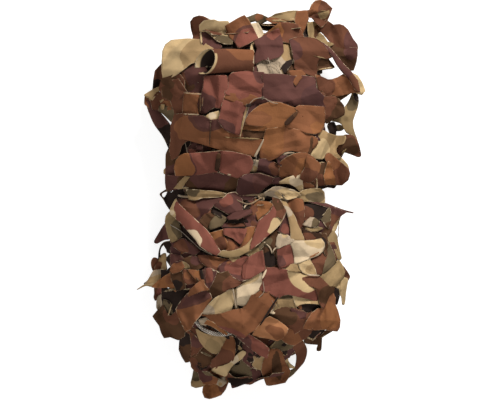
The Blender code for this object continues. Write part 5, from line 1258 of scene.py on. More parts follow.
    Cut(-3, I.SHADOW_BLACK, (10, -70, 28, -68, 46, -72, 68, -76, 72, -84, 40, -96, 14, -88)),
    Strip((57, -75), (70, -75.6), 0, (1, 1.6, 1), 9, I.STONE),
    Strip((17, -70), (12.5, -79.5), 0, (1.2, 2.2, 1), 6.8, I.CREAM),
    # Painted shadow: a near-black strip laid along the long diagonal slit.
    Strip((29, -96.5), (9.5, -126.5), 0, (1.2, 2, 1.2), 8.6, I.SHADOW_BLACK, fray=0),
    Cut(2.5, I.TAN, (21, -105, 26, -100.5, 29.5, -105, 30.5, -109, 26, -111.5, 23, -110)),
    Cut(3.5, I.CREAM, (20, -111, 25.5, -110.3, 24, -114.2, 20.5, -114), curl=.3),
    Cut(2.5, Print(I.TAN, I.OLIVE, (36, -95), 5, stretch=2), (26.5, -99, 34, -95, 42, -95, 45, -101, 47,
        -109, 38, -107.5, 30, -108.5), (0, 0), (Crease(28, -100, 43, -99.5, 1.6, 3),), fray=.6),
    Cut(3.5, Print(I.SAND, I.TAN, (66, -101), 6), (42.5, -94.5, 50, -96.5, 60, -99, 69, -101.5, 71, -104.5,
        66, -104, 56, -104, 50, -105, 47, -107, 44.5, -101), (0, -.5), fray=.5),
    Cut(-1, I.SHADOW_BLACK, (24, -98, 44, -97, 52, -104, 68, -105, 74, -110, 64, -114, 44, -110, 22, -114)),
    Cut(3, Print(I.CHESTNUT, I.UMBER, (32, -115), 11, stretch=1.4, way=-20), (20, -117, 25, -111.5, 30,
        -108, 36, -106, 42, -107.5, 48, -110.5, 54, -112, 63, -112.5, 61, -118, 56, -126, 55, -129, 50,
        -131.5, 44, -134.5, 40, -130, 38, -128.5, 30, -124.5, 22, -119.5), (0, -.8), (Crease(28, -112, 50,
        -124, 1.8, 8), Crease(46, -112, 48, -130, 1.4, 7))),
    Cut(4.5, I.WINE, (41, -109.5, 48, -111.5, 56, -113, 55, -118, 47, -119.5, 42, -116), curl=.3,
        crinkle=.6, fray=0),
    Cut(2.5, Print(I.SHADOW_BLACK, I.RUST, (48, -107), 4), (48, -107, 54, -104.5, 62, -104, 67, -104.5, 68, -108,
        66, -111, 58, -113, 53, -112)),
    Cut(5, Print(I.RUST, I.AMBER, (80, -118), 9, stretch=1.6, way=80), (73, -108.5, 77, -101.5, 80, -96.5,
        83.5, -93.5, 86, -99, 85.5, -105, 88, -112, 90, -121, 89.5, -128, 87.5, -132, 83, -131.5, 74,
        -129.5, 66, -130, 58, -129.5, 53.5, -128.5, 56, -123, 62, -114, 68, -109.5), (0, -.5), (Crease(73,
        -107, 58, -129, 3, 3), Crease(73, -107, 64, -130, -4, 3), Crease(73, -107, 69, -130, 3.4, 2.6),
        Crease(74, -107, 74.5, -130, -3, 3), Crease(81, -97, 81, -131, 2.6, 4), Crease(76, -104, 78, -130,
        2, 2.4)), crinkle=.6, fold=.2),
    Cut(-5, I.SHADOW_BLACK, (53, -130, 75, -130, 73, -133.5, 66, -138, 60, -139, 54, -136)),
    Strip((56, -137), (63, -141.3), 0, (1, 1.4, 1), -3, I.KHAKI),
    Strip((63, -141.3), (71.5, -133), 0, (1, 1.4, 1), -3, I.ROSE),
    Cut(-8, I.UMBER, (54, -142, 58, -138, 64, -141.5, 70, -134, 76, -131, 83, -131, 76, -133.8, 71.5, -136,
        71, -151, 67, -151.5, 69, -145, 60, -144.7, 55, -144), rounding=1),
    # Painted light: this leaf's ground is the lighter amber, though it slopes away from the key light.
    Cut(7, Print(I.LIT_AMBER, I.RUST, (26, -133), 6, stretch=1.8, way=-30), (20, -118, 28, -121.5, 35, -126,
        38.5, -129, 36.5, -134, 32, -139, 27, -141.5, 18, -139, 10, -137.5, 3, -135, 8, -128, 14, -121), (0,
        0), (Crease(12, -126, 34, -132, 1.8, 7), Crease(4, -135, 27, -141, -2.2, 4))),
    Cut(3, Print(I.RUST, I.CHESTNUT, (56, -134), 7), (38, -128.5, 44, -131, 54, -128.5, 63, -130, 61, -134,
        56, -138.5, 50, -142, 44, -145.5, 36, -143.5, 31, -139, 35, -134), (.5, -.8), (Crease(42, -132, 44,
        -144, 1.6, 6),)),
    Cut(1, Print(I.KHAKI, I.OLIVE, (34, -146), 7, stretch=1.5), (19, -149.5, 25, -143, 31, -138, 35, -142,
        44, -144.5, 42, -148, 36, -150.5, 28, -151)),
    Cut(0, I.KHAKI, (69, -77.5, 74, -73, 80, -70.5, 84, -64.5, 89.5, -61, 92.5, -66, 94.5, -72, 93.5, -78,
        88.5, -84, 85.5, -88, 80, -87.5, 74.5, -82), (0, 0), (Crease(72, -77, 90, -68, 1.8, 5), Crease(74,
        -79, 90, -81, 1.6, 5)), crinkle=.8),
    Cut(-6, I.CHESTNUT, (93.5, -66.5, 97, -72, 99.8, -77, 98.3, -80.5, 95.5, -80, 93, -74)),
    Cut(-7, I.SAND, (92, -77.5, 98, -79.5, 96.2, -88, 95.2, -98, 94.8, -105.5, 93.2, -105.8, 92.3, -98, 89,
        -92, 85.8, -87.5, 89.5, -83), (2, 0), crinkle=.5, rounding=1),
    Cut(-4, I.SHADOW_BLACK, (84, -88, 88.5, -89, 89.3, -96, 87, -104.5, 84.5, -103.5, 85, -96)),
    Cut(0, I.OLIVE, (75, -35, 80, -44, 84.5, -55, 86, -63, 80, -69, 72, -75.5, 70, -70, 73, -62, 76, -52,
        75.5, -44), (1, 0), (Crease(78, -44, 76, -70, 1.6, 5),)),
    Cut(2, I.CHESTNUT, (60, -60, 68, -56, 73, -51, 75.5, -45, 77.5, -54, 74.5, -64, 72, -75, 65, -76, 62.5,
        -67), (.5, 0), (Crease(66, -58, 68, -74, 1.5, 5),)),
    Cut(3, Print(I.UMBER, I.SHADOW_BLACK, (72, -42), 5), (70, -33, 76, -34, 78.5, -44, 77, -56, 74.5, -50, 74, -43,
        70.5, -39)),
)


TAIL: tuple[LeafShape, ...] = (
    Cut(-4, Print(I.UMBER, I.SHADOW_BLACK, (-66, -140), 7), (-67, -130, -60, -128.5, -56, -135, -55, -145, -56,
        -155, -58, -160, -62, -162.5, -65, -163, -68.5, -157, -71, -150, -70, -140, -68.5, -134), (1, 0)),
    Cut(-2, Print(I.CHESTNUT, I.WINE, (-53, -142), 7), (-61, -128, -54, -129, -50.5, -138, -47.5, -146, -52,
        -152, -55, -156, -59, -158, -59, -145), (0, 0), (Crease(-57, -134, -54, -155, 1.6, 5),)),
    Cut(0, Print(I.TAN, I.KHAKI, (-38, -148), 8), (-54, -130, -50, -133, -44, -135, -36, -136, -28, -135,
        -21, -133, -25, -141, -28.5, -147, -30.5, -152, -34, -154, -39, -153, -45, -148.5, -50, -142), (0,
        0), (Crease(-48, -136, -36, -152, 1.6, 7),), curl=1.6),
    Cut(-4, Print(I.UMBER, I.CHESTNUT, (-58, -164), 6), (-61, -160, -56, -156, -50, -149, -44, -149, -37,
        -155, -36, -161, -43, -166, -50, -169, -55, -170.5, -59, -165), (0, -.5)),
    Strip((-49, -153), (-38, -158), 0, (1.2, 1.8, 1), -1.4, I.OLIVE),
    Cut(1, Print(I.RUST, I.CHESTNUT, (-30, -160), 13), (-18, -137, -22, -138.5, -26, -141.5, -28, -147, -30,
        -153, -34, -158, -38, -161, -39, -167, -36, -169.5, -28, -168, -20, -166, -16.5, -160, -15.5, -152,
        -15.5, -143), (.5, 0), (Crease(-20, -140, -32, -164, 2, 7),)),
    Cut(1.5, Print(I.SAND, I.CREAM, (-16, -160), 5), (-7.5, -151.5, -4.5, -153.5, -10, -160.5, -16, -164.5,
        -20, -169.5, -22.5, -175, -24, -177.5, -31, -174.5, -38.5, -171, -35, -168.5, -28, -167.5, -20,
        -164.5, -16, -159.5, -12, -155), (0, 0), crinkle=.5, rounding=1),
    Cut(-2, I.TAN, (-17, -149, -11, -147, -8, -150.5, -16, -153.5)),
    Cut(-5, I.SHADOW_BLACK, (-18, -134, -8, -140, -2, -150, 4, -160, 0, -168, -8, -160, -16, -166, -20, -150)),
    Cut(-4, Print(I.OLIVE, I.UMBER, (-14, -180), 5), (-20.5, -172, -16, -167.5, -10, -165.5, -7, -159, -3,
        -165, .5, -169, 1.5, -176, -1, -182, -6, -183.5, -12, -182.5, -18.5, -179.5), (0, -.5), (Crease(-16,
        -170, -2, -178, 1.6, 7),)),
    Cut(-2.5, Print(I.WINE, I.SHADOW_BLACK, (-10, -182), 6, stretch=2), (-23.5, -178.5, -19, -184, -17.5, -188.6,
        -13, -187.5, -6, -185, 1, -182.4, 9, -179.6, 12, -178, 10, -172, 3, -170.4, -6, -176, -14, -177),
        (0, -1), fray=0),
    Cut(-7, Print(I.PLUM, I.UMBER, (9, -178), 4), (0, -167.5, 7, -168.5, 11, -173, 12, -178, 7, -181.5, 0,
        -182.5)),
    Cut(-3, Print(I.WINE, I.SHADOW_BLACK, (2, -162), 5), (-8, -139, -4, -144, 0, -147, 9, -153, 8.5, -158.5, 3,
        -160.5, 2, -169, -2, -165.5, -6.5, -158, -7, -150)),
    Cut(7.5, Print(I.ROSE, I.WINE, (-8, -142), 7, stretch=1.8, way=-38), (-29, -124.5, -20, -126, -8, -131,
        3, -137.5, 12, -144, 18.5, -150, 17, -159, 10, -156, 2, -150, -6, -143.5, -12, -138.5, -20, -131.5),
        (0, -1), (Crease(-20, -128, 16, -154, 2.4, 5), Crease(4, -139, 2, -149, -2, 4), Crease(12, -146, 8,
        -155, 2, 4)), fray=.4, fold=.2),
    Cut(-2.5, I.TAN, (4, -157.5, 10, -160, 15.5, -153.5, 18.5, -153.5, 14.5, -163, 12, -171, 6, -169.5, 2.5,
        -166, 5, -162), fray=.5),
    Strip((6.5, -169.8), (12.5, -177.5), 0, (1.4, 1.6, 1), -4, I.KHAKI),
    Cut(.5, Print(I.RUST, I.UMBER, (27, -167), 5, stretch=2.8, way=96), (17.5, -152.5, 21, -150, 28, -150,
        32, -153.5, 34, -162, 37, -168, 40, -172, 38, -179.5, 35.5, -183.5, 28, -185, 20, -186, 17.5,
        -185.5, 14.5, -178, 11.5, -172, 12.5, -164), (-.5, -.5), (Crease(21, -152, 24, -184, 1.8, 4),
        Crease(31, -154, 34, -182, 1.6, 5))),
    Cut(-4.5, I.SAND, (31, -154.5, 37, -155.5, 37.5, -162, 40.5, -166.2, 45, -168.5, 38, -168.7, 33, -166.5,
        31.5, -160), rounding=1),
    Sail(((52, -140, -4), (56.5, -148, -5), (57.3, -155, -6), (55, -163, -7), (50, -169, -8), (43, -176,
        -8), (36, -180.5, -8)), ((40, -145, -3), (43.5, -150, -4), (46.3, -156, -6), (46.3, -163, -7),
        (44.5, -168.5, -8), (40, -171, -8), (35, -174, -8)), Print(I.CHESTNUT, I.OLIVE, (41, -174), 6),
        sag=-1),
    Cut(-3, I.SHADOW_BLACK, (18, -148, 30, -146, 42, -141, 54, -137, 50, -144, 42, -147, 38, -150, 36, -156, 30,
        -152, 20, -152)),
    Cut(-10, Print(I.AMBER, I.CHESTNUT, (-27, -189), 5), (-46, -185.5, -40, -183.5, -34, -183, -28, -184.5,
        -22.5, -185.5, -25, -190.5, -29.5, -195.5, -35, -197.5, -41, -199, -45.5, -198, -47.3, -193), (0,
        0), (Crease(-42, -186, -34, -196, 1.5, 6),)),
    Cut(-9, Print(I.TAN, I.OLIVE, (-55, -176), 6), (-56, -170.5, -51.5, -176, -48, -181, -44, -184.5, -49,
        -187, -55, -188, -59, -186.5, -59.3, -183, -57.5, -177)),
    Cut(-5, Print(I.RUST, I.WINE, (-46, -176), 6, stretch=1.5, way=-45), (-52, -171.5, -44, -167, -38,
        -169.5, -34, -174.5, -29, -175.5, -23, -178.5, -22, -184.5, -29, -185, -36, -184, -40, -185, -46,
        -184.5, -50, -179), (0, 0), (Crease(-48, -172, -36, -182, 2, 5),), crinkle=2),
    Cut(-3.5, Print(I.STONE, I.TAN, (-30, -185), 2), (-31, -179, -26, -178, -24, -183, -29, -187, -33,
        -185)),
    Cut(-4, I.SHADOW_BLACK, (-42, -166, -36, -170, -24, -176, -22, -181, -30, -181, -40, -174)),
)


@dataclass(frozen=True)
class Shingles:
    """Rows of plain leaves strewn by seed over a surface, each a flap that lies over the one behind it.

    With by_girth, the first span is given in halves of the girth's width from its middle.  The step is the
    size of a grid cell, and the turn is how far, in degrees, a leaf may lie off the main way.
    """
    ground: Ground
    a_span: Span
    b_span: Span
    rows: int
    count: int
    long: Span
    wide: Span
    lifts: Span
    inks: tuple[Ink, ...]
    seed: int
    turn: float = 40.0
    by_girth: bool = False
    step: float = 2.2
    main_way: float = 90.0

    def lay(self, heap: Heap) -> None:
        """Strew the leaves and add them to a heap.

        Args:
            heap: Where the leaves go.
        """
        rng = np.random.default_rng(self.seed)
        (a0, a1), (b0, b1) = self.a_span, self.b_span
        for index in range(self.rows * self.count):
            row, place = divmod(index, self.count)
            a = a0 + (a1 - a0) * (row + rng.uniform(.25, .75)) / self.rows
            b = b0 + (b1 - b0) * (place + rng.uniform(.1, .9)) / self.count
            angle = math.radians(self.main_way + rng.uniform(-self.turn, self.turn) + 180 * rng.integers(2))
            long, wide = rng.uniform(*self.long) / 2, rng.uniform(*self.wide) / 2
            way = np.array((math.cos(angle), math.sin(angle)))
            across = np.array((-way[1], way[0]))
            if self.by_girth:
                left, right = (float(side) for side in BUNDLE.girth(b)[:2])
                a = (left + right) / 2 + a * (right - left) / 2
            centre, pinch = np.array((a, b)), rng.uniform(.7, 1.1, 2)
            corners = [centre - way * long - across * wide * pinch[0], centre - way * long + across * wide,
                       centre + way * long + across * wide * pinch[1], centre + way * long - across * wide]
            low, high = self.lifts
            base = rng.uniform(low, (low + high) / 2)
            tip = rng.uniform((low + high) / 2, high)
            ground_ink, blotch = rng.choice(len(self.inks), 2)
            spot = tuple(centre + way * long * rng.uniform(-1, 1))
            ink = Print(self.inks[ground_ink], self.inks[blotch], spot, wide * rng.uniform(.5, 1.3), 1.0,
                        Ink.OLIVE)
            flap = Flap(*(tuple(map(float, p)) for p in corners), (base, base, tip, tip), ink,
                        bows=tuple(rng.uniform(-2, 4, 3)), tip=rng.uniform(.1, .5), crinkle=1.2)
            flap.lay(heap, self.ground, self.step, self.seed * 100 + index)


@dataclass(frozen=True)
class Garnish:
    """The netting's cut leaves: five zones of the face, the dark leaves behind them and the other sides."""
    step: float = 1.6
    coarse: float = 3.0
    thickness: float = 0.45
    reds: tuple[Ink, ...] = (I.RUST, I.CHESTNUT, I.ROSE, I.WINE, I.AMBER, I.RUST, I.CHESTNUT, I.SAND)
    # Dark inks on the flanks and the foot are painted shade, for the sides' fall-off from the light.
    sides: tuple[Ink, ...] = (I.WINE, I.UMBER, I.CHESTNUT, I.RUST, I.UMBER, I.OLIVE)
    # Near-black inks of the leaves behind the face are painted shade in the gaps.
    gap_shade_inks: tuple[Ink, ...] = (I.SHADOW_BLACK, I.SHADOW_BLACK, I.WINE, I.UMBER)
    # Inks of the layer between: browns of the print, kept dark as painted shade so that the gaps look deep.
    shaded_browns: tuple[Ink, ...] = (I.WINE, I.CHESTNUT, I.UMBER, I.SHADOW_BLACK, I.PLUM)

    def dress(self, cloth: "Cloth") -> None:
        """Build every zone and give it the cloth's materials.

        Args:
            cloth: The materials of the cut cloth.
        """
        face = {"garnish_crown": CROWN, "garnish_shoulder": SHOULDER, "garnish_waist": WAIST,
                "garnish_belly": BELLY, "garnish_tail": TAIL}
        for number, (name, leaves) in enumerate(face.items()):
            heap = Heap()
            for index, leaf in enumerate(leaves):
                leaf.lay(heap, Front(), self.step, 1000 * number + 7 * index)
            if leaves is CROWN:
                RolledLeaf().lay(heap)
            self._finish(heap, name, cloth)
        for name, strewn in self._strewn().items():
            heap = Heap()
            for rows in strewn:
                rows.lay(heap)
            self._finish(heap, name, cloth)

    def _strewn(self) -> dict[str, tuple[Shingles, ...]]:
        """The zones of strewn leaves: behind the face, on the flanks, over the ends and on the back.

        Returns:
            Rows of leaves by the name of their zone.
        """
        behind = Shingles(Front(), (-.84, .84), (-158, 142), 5, 15, (34, 50), (20, 28), (-12, -7), self.gap_shade_inks,
                          5, by_girth=True, step=self.coarse)
        between = Shingles(Front(), (-.86, .86), (-160, 146), 5, 13, (26, 44), (16, 24), (-6, -1.5),
                           self.shaded_browns, 6, 75, by_girth=True, step=2.4)
        left, right = (Shingles(Flank(side), (6, 78), (-158, 160), 4, 11, (34, 54), (20, 30), (-8, -2.5),
                                self.sides, 11 + side, 55) for side in (-1, 1))
        top = Shingles(End(167, 1), (-48, 54), (4, 66), 4, 3, (26, 44), (18, 26), (.5, 5), self.reds,
                       21, 70)
        foot = Shingles(End(-178, -1), (-34, 16), (4, 44), 3, 2, (24, 36), (16, 24), (-1.5, 2), self.sides,
                        22, 70)
        under = Shingles(Back(), (-.74, .74), (-150, 146), 5, 8, (42, 60), (24, 32), (0, 2.2), self.reds,
                         31, 35, by_girth=True, step=self.coarse)
        return {"garnish_inner": (behind, between), "garnish_left_flank": (left,),
                "garnish_right_flank": (right,), "garnish_ends": (top, foot), "garnish_back": (under,)}

    def _finish(self, heap: Heap, name: str, cloth: "Cloth") -> None:
        """Args:
            heap: The zone's leaves.
            name: The zone's name.
            cloth: The materials of the cut cloth.
        """
        obj = heap.build(name)
        thicken(obj, self.thickness)
        cloth.dress(obj)
        declare_cloth(obj)
        LOG.info("%s: %d points, %.4f square metres", name, heap.count, heap.area)


def thicken(obj: bpy.types.Object, thickness: float) -> None:
    """Give a sheet its thickness inwards, with materials 1 and 2 for its lining and its cut edge.

    Args:
        obj: The sheet.
        thickness: Its thickness, in millimetres.
    """
    modifier = obj.modifiers.new("thickness", "SOLIDIFY")
    modifier.thickness = thickness * MM
    modifier.offset = -1
    modifier.use_rim = True
    modifier.material_offset = 1
    modifier.material_offset_rim = 2


def declare_cloth(obj: bpy.types.Object) -> None:
    """Hang a zone of cloth on the root body and hide the imported netting, which it stands for.

    The cloth is cut from a strip 0.25 m wide, and the pattern of cuts leaves four fifths of it.

    Args:
        obj: The zone.
    """
    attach(obj, "root")
    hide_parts("netting")


@dataclass(frozen=True)
class RolledLeaf:
    """The leaf that is rolled to a tube across the upper face, open at its left end.

    Its rim shows the pale lining as far in as the hem on the outside and the mouth on the inside; beyond the
    mouth the inside is painted near-black as shade.
    """
    start: Place = (-44.4, 136.0)
    end: Place = (4.0, 137.0)
    radii: Span = (11.8, 10.2)
    slant: float = 9.8
    lean: float = 2.6
    first: float = -115.0
    turn: float = 325.0
    rise: float = 8.5
    flat: float = 0.78
    unrolled: float = 56.0
    hem: float = 3.4
    mouth: float = 4.6
    fray: float = 0.8
    ink: Print = Print(Ink.CHESTNUT, Ink.RUST, (-2, 146), 9, stretch=2.2)

    def lay(self, heap: Heap) -> None:
        """Add the tube: a circle of falling radius along the line, its left end cut at a slant.

        The tube's start moves right with the sine of the angle, so that its top is cut back.

        Args:
            heap: Where the leaf goes.
        """
        u, v = np.meshgrid(np.linspace(0, 1, 40), np.linspace(0, 1, 52), indexing="ij")
        angle = np.radians(self.first + self.turn * v)
        radius = self.radii[0] + (self.radii[1] - self.radii[0]) * u
        radius = radius * (1 + 0.03 * np.sin(3 * angle + 4 * u))
        begin = self.start[0] + self.slant * np.sin(angle) + self.lean * np.cos(angle)
        x = begin + (self.end[0] - begin) * u
        share = (x - self.start[0]) / (self.end[0] - self.start[0])
        middle = self.start[1] + (self.end[1] - self.start[1]) * share
        y = middle + radius * 1.05 * np.cos(angle)
        z = BUNDLE.carrier(x, middle) + self.rise + self.flat * radius * np.sin(angle)
        grid = np.stack([x, y, z], axis=-1)
        outward = np.stack([np.zeros_like(x), np.cos(angle), np.sin(angle)], axis=-1)
        run, wound = u * abs(self.end[0] - self.start[0]), v * self.unrolled
        rim = np.minimum.reduce([run, run[-1] - run, wound, self.unrolled - wound])
        values = self.ink.values(x, y)
        # Past the mouth the tube's inside is painted near-black as shade.
        values["lining"] = np.where((run < self.mouth)[..., None], Ink.SAND.value, Ink.SHADOW_BLACK.value)
        turned = ((run < self.hem) & (angle > math.radians(55)) & (angle < math.radians(225)))[..., None]
        for key in ("ground", "blotch"):
            values[key] = np.where(turned, Ink.SAND.value, values[key])
        uv = np.stack([run, wound], axis=-1)
        heap.add(grid, uv, outward, rim=rim, fray=np.full(x.shape, self.fray), **values)


@dataclass(frozen=True)
class FoldedCloth:
    """The folded body behind the leaves: one sheet that runs back and forth over the bundle's height."""
    layers: int = 17
    per_layer: int = 17
    per_turn: int = 6
    rows: int = 76
    inset: float = 4.0
    bottom: float = 2.6
    top_share: float = 0.93
    thickness: float = 0.9
    usual_reach: float = 70.0
    usual_height: float = 90.0
    # Its near-black and wine inks are painted shade, for the body seen deep in the gaps.
    ink: Print = Print(Ink.SHADOW_BLACK, Ink.WINE, (0, 170), 22, 0, Ink.SHADOW_BLACK)
    seed: int = 4

    def section(self) -> tuple[Array, Array]:
        """The fold's line as shares: across from -1 to 1 and height from 0 to 1.

        Layers run level from side to side, and half circles of half a layer's height join them.

        Returns:
            Shares across and shares of the height.
        """
        pitch = 1.0 / (self.layers - 1)
        across, height = [], []
        for layer in range(self.layers):
            way = 1 if layer % 2 == 0 else -1
            across.append(np.linspace(-1, 1, self.per_layer) * way)
            height.append(np.full(self.per_layer, layer * pitch))
            if layer < self.layers - 1:
                turn = np.linspace(-np.pi / 2, np.pi / 2, self.per_turn + 2)[1:-1]
                across.append(way * (1 + 0.06 * np.cos(turn)))
                height.append((layer + 0.5 + 0.5 * np.sin(turn)) * pitch)
        return np.concatenate(across), np.concatenate(height)

    def build(self, cloth: "Cloth") -> None:
        """Build the folded sheet.

        At a share h of the height the sheet reaches (1 - |2h - 1|^2.6)^(1/2.6) of the girth's half width,
        and seeded waves along and across it crumple its layers by under a millimetre.  Its two ends are
        ragged by the sum of two sines.

        Args:
            cloth: The materials of the cut cloth.
        """
        across, share = self.section()
        y = np.linspace(STATIONS[0].y + 1, STATIONS[-1].y - 1, self.rows)[:, None]
        left, right, height, lift = BUNDLE.girth(y)
        middle, reach = (left + right) / 2, (right - left) / 2 - self.inset
        power = BUNDLE.corner_power
        bulge = (1 - np.abs(2 * (0.04 + 0.92 * share) - 1) ** power) ** (1 / power)
        rng = np.random.default_rng(self.seed)
        waves = sum(rng.uniform(.15, .5) * np.sin(y / rng.uniform(6, 22) + across * rng.uniform(2, 7)
                                                  + share * rng.uniform(5, 60) + rng.uniform(0, 6.3))
                    for _ in range(6))
        x = middle + (reach * bulge + 1.5 * np.sin(y / 9 + share * 40)) * across
        usable = height * self.top_share - self.bottom
        z = self.bottom + share * usable * (1 - 0.16 * np.abs(across) ** 3 * share) + lift * share
        z = np.maximum(z + waves * np.sqrt(share) * 0.9, self.bottom)
        ragged = 2.5 * np.sin(share * 90 + across * 2.1) + 1.5 * np.sin(share * 37 - across * 5)
        along = y + ragged * np.clip((np.abs(y) - 120) / 50, 0, 1)
        grid = np.stack(np.broadcast_arrays(x, along, z), axis=-1)
        outward = np.zeros_like(grid)
        outward[..., 2] = np.where(np.gradient(across) > 0, 1.0, -1.0)
        rim = np.minimum(np.abs(along - y.min()), np.abs(y.max() - along)) + np.zeros(grid.shape[:2])
        steps = np.hypot(np.diff(across) * self.usual_reach, np.diff(share) * self.usual_height)
        run = np.concatenate([[0], np.cumsum(steps)])
        uv = np.stack(np.broadcast_arrays(along, run), axis=-1)
        values = self.ink.values(grid[..., 0], grid[..., 1])
        heap = Heap()
        heap.add(grid, uv, outward, rim=rim, fray=np.full(rim.shape, .5), **values)
        obj = heap.build("folded_cloth")
        thicken(obj, self.thickness)
        cloth.dress(obj)
        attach(obj, "root")
        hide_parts("netting")
        LOG.info("folded_cloth: %d points, %.4f square metres", heap.count, heap.area)


@dataclass(frozen=True)
class Twist:
    """How a cord is made: faces round it, its plies, their depth, one winding's length, and if they cross."""
    sides: int
    plies: int = 0
    depth: float = 0.0
    lay: float = 1.0
    braid: bool = False


def tube(heap: Heap, points: Array, radius: Array | float, outward: Array, twist: Twist, ink: Ink) -> None:
    """Add a cord: a circle carried along a line, with plies that wind round it.

    The radius is r (1 - depth + depth |cos(plies (angle + turn x run) / 2)|), the turn being one for each
    lay of the run. A braid has the product of two such cosines that wind opposite ways.

    Args:
        heap: Where the cord goes.
        points: The cord's middle line, shape (n, 3), in millimetres.
        radius: The cord's radius, or one for each point.
        outward: The way from the object, shape (n, 3) or (3,), that keeps the circle from turning over.
        twist: How its plies wind.
        ink: The cord's tone.
    """
    way = np.gradient(points, axis=0)
    way = way / np.linalg.norm(way, axis=1, keepdims=True)
    first = np.cross(way, np.broadcast_to(outward, points.shape))
    first = first / np.maximum(np.linalg.norm(first, axis=1, keepdims=True), 1e-6)
    second = np.cross(first, way)
    run = np.concatenate([[0], np.cumsum(np.linalg.norm(np.diff(points, axis=0), axis=1))])
    angle = np.linspace(0, 2 * np.pi, twist.sides + 1)[None, :]
    wind = angle + 2 * np.pi * run[:, None] / twist.lay
    crown = np.cos(twist.plies * wind / 2) if twist.plies else np.ones_like(wind)
    if twist.braid:
        crown = crown * np.cos(twist.plies * (2 * angle - wind) / 2)
    shape = 1 - twist.depth + twist.depth * np.abs(crown)
    size = (np.broadcast_to(radius, run.shape)[:, None] * shape)[..., None]
    ring = first[:, None] * np.cos(angle)[..., None] + second[:, None] * np.sin(angle)[..., None]
    grid = points[:, None] + ring * size
    # How far into a groove each point lies, from which the yarn paints its shade.
    rim = np.sqrt(1 - crown ** 2) if twist.plies else np.ones_like(wind)
    values = Print(ink).values(grid[..., 0], grid[..., 1])
    uv = np.stack(np.broadcast_arrays(run[:, None], wind), axis=-1)
    heap.add(grid, uv, ring, rim=rim, fray=np.zeros(rim.shape), **values)


def lay_over(route: Route, count: int) -> Array:
    """A smooth line over the bundle's face through (x, y, lift) points, in millimetres."""
    line = smooth_line(route, np.linspace(0, 1, count))
    return Front().place(line[:, 0], line[:, 1], line[:, 2])


def trefoil(count: int, height: float = 1.0) -> Array:
    """The trefoil knot's line: x = sin t + 2 sin 2t, y = cos t - 2 cos 2t, z = -height sin 3t.

    Args:
        count: Number of points.
        height: How far it weaves up and down.

    Returns:
        Points, shape (count, 3).
    """
    t = np.linspace(0, 2 * np.pi, count)
    x, y = np.sin(t) + 2 * np.sin(2 * t), np.cos(t) - 2 * np.cos(2 * t)
    return np.stack([x, y, -height * np.sin(3 * t)], axis=-1)


@dataclass(frozen=True)
class BorderRope:
    """The braided rope in the net's border, of which one bend shows under the lower leaves."""
    route: Route = ((-63, -103, -5), (-59, -114, -1), (-52, -125, 1), (-43, -132, 2), (-32, -135, 2),
                    (-21, -134, 1), (-12, -129, -3))
    diameter: float = 4.0
    twist: Twist = Twist(36, 4, .22, 8.4, braid=True)
    points: int = 300

    def build(self, yarn: "Yarn") -> None:
        """Build the rope, rounded off at its two hidden ends.

        Args:
            yarn: The rope's material.
        """
        heap = Heap()
        line = lay_over(self.route, self.points)
        to_end = np.minimum(np.linspace(0, 1, self.points), np.linspace(1, 0, self.points))
        end = np.minimum(1, np.sqrt(to_end / .01 + .02))
        tube(heap, line, self.diameter / 2 * end, UP, self.twist, Ink.CREAM)
        obj = heap.build("braided_border_rope")
        yarn.dress(obj)
        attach(obj, "root")
        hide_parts("border_rope")
        LOG.info("braided_border_rope: %d points", heap.count)


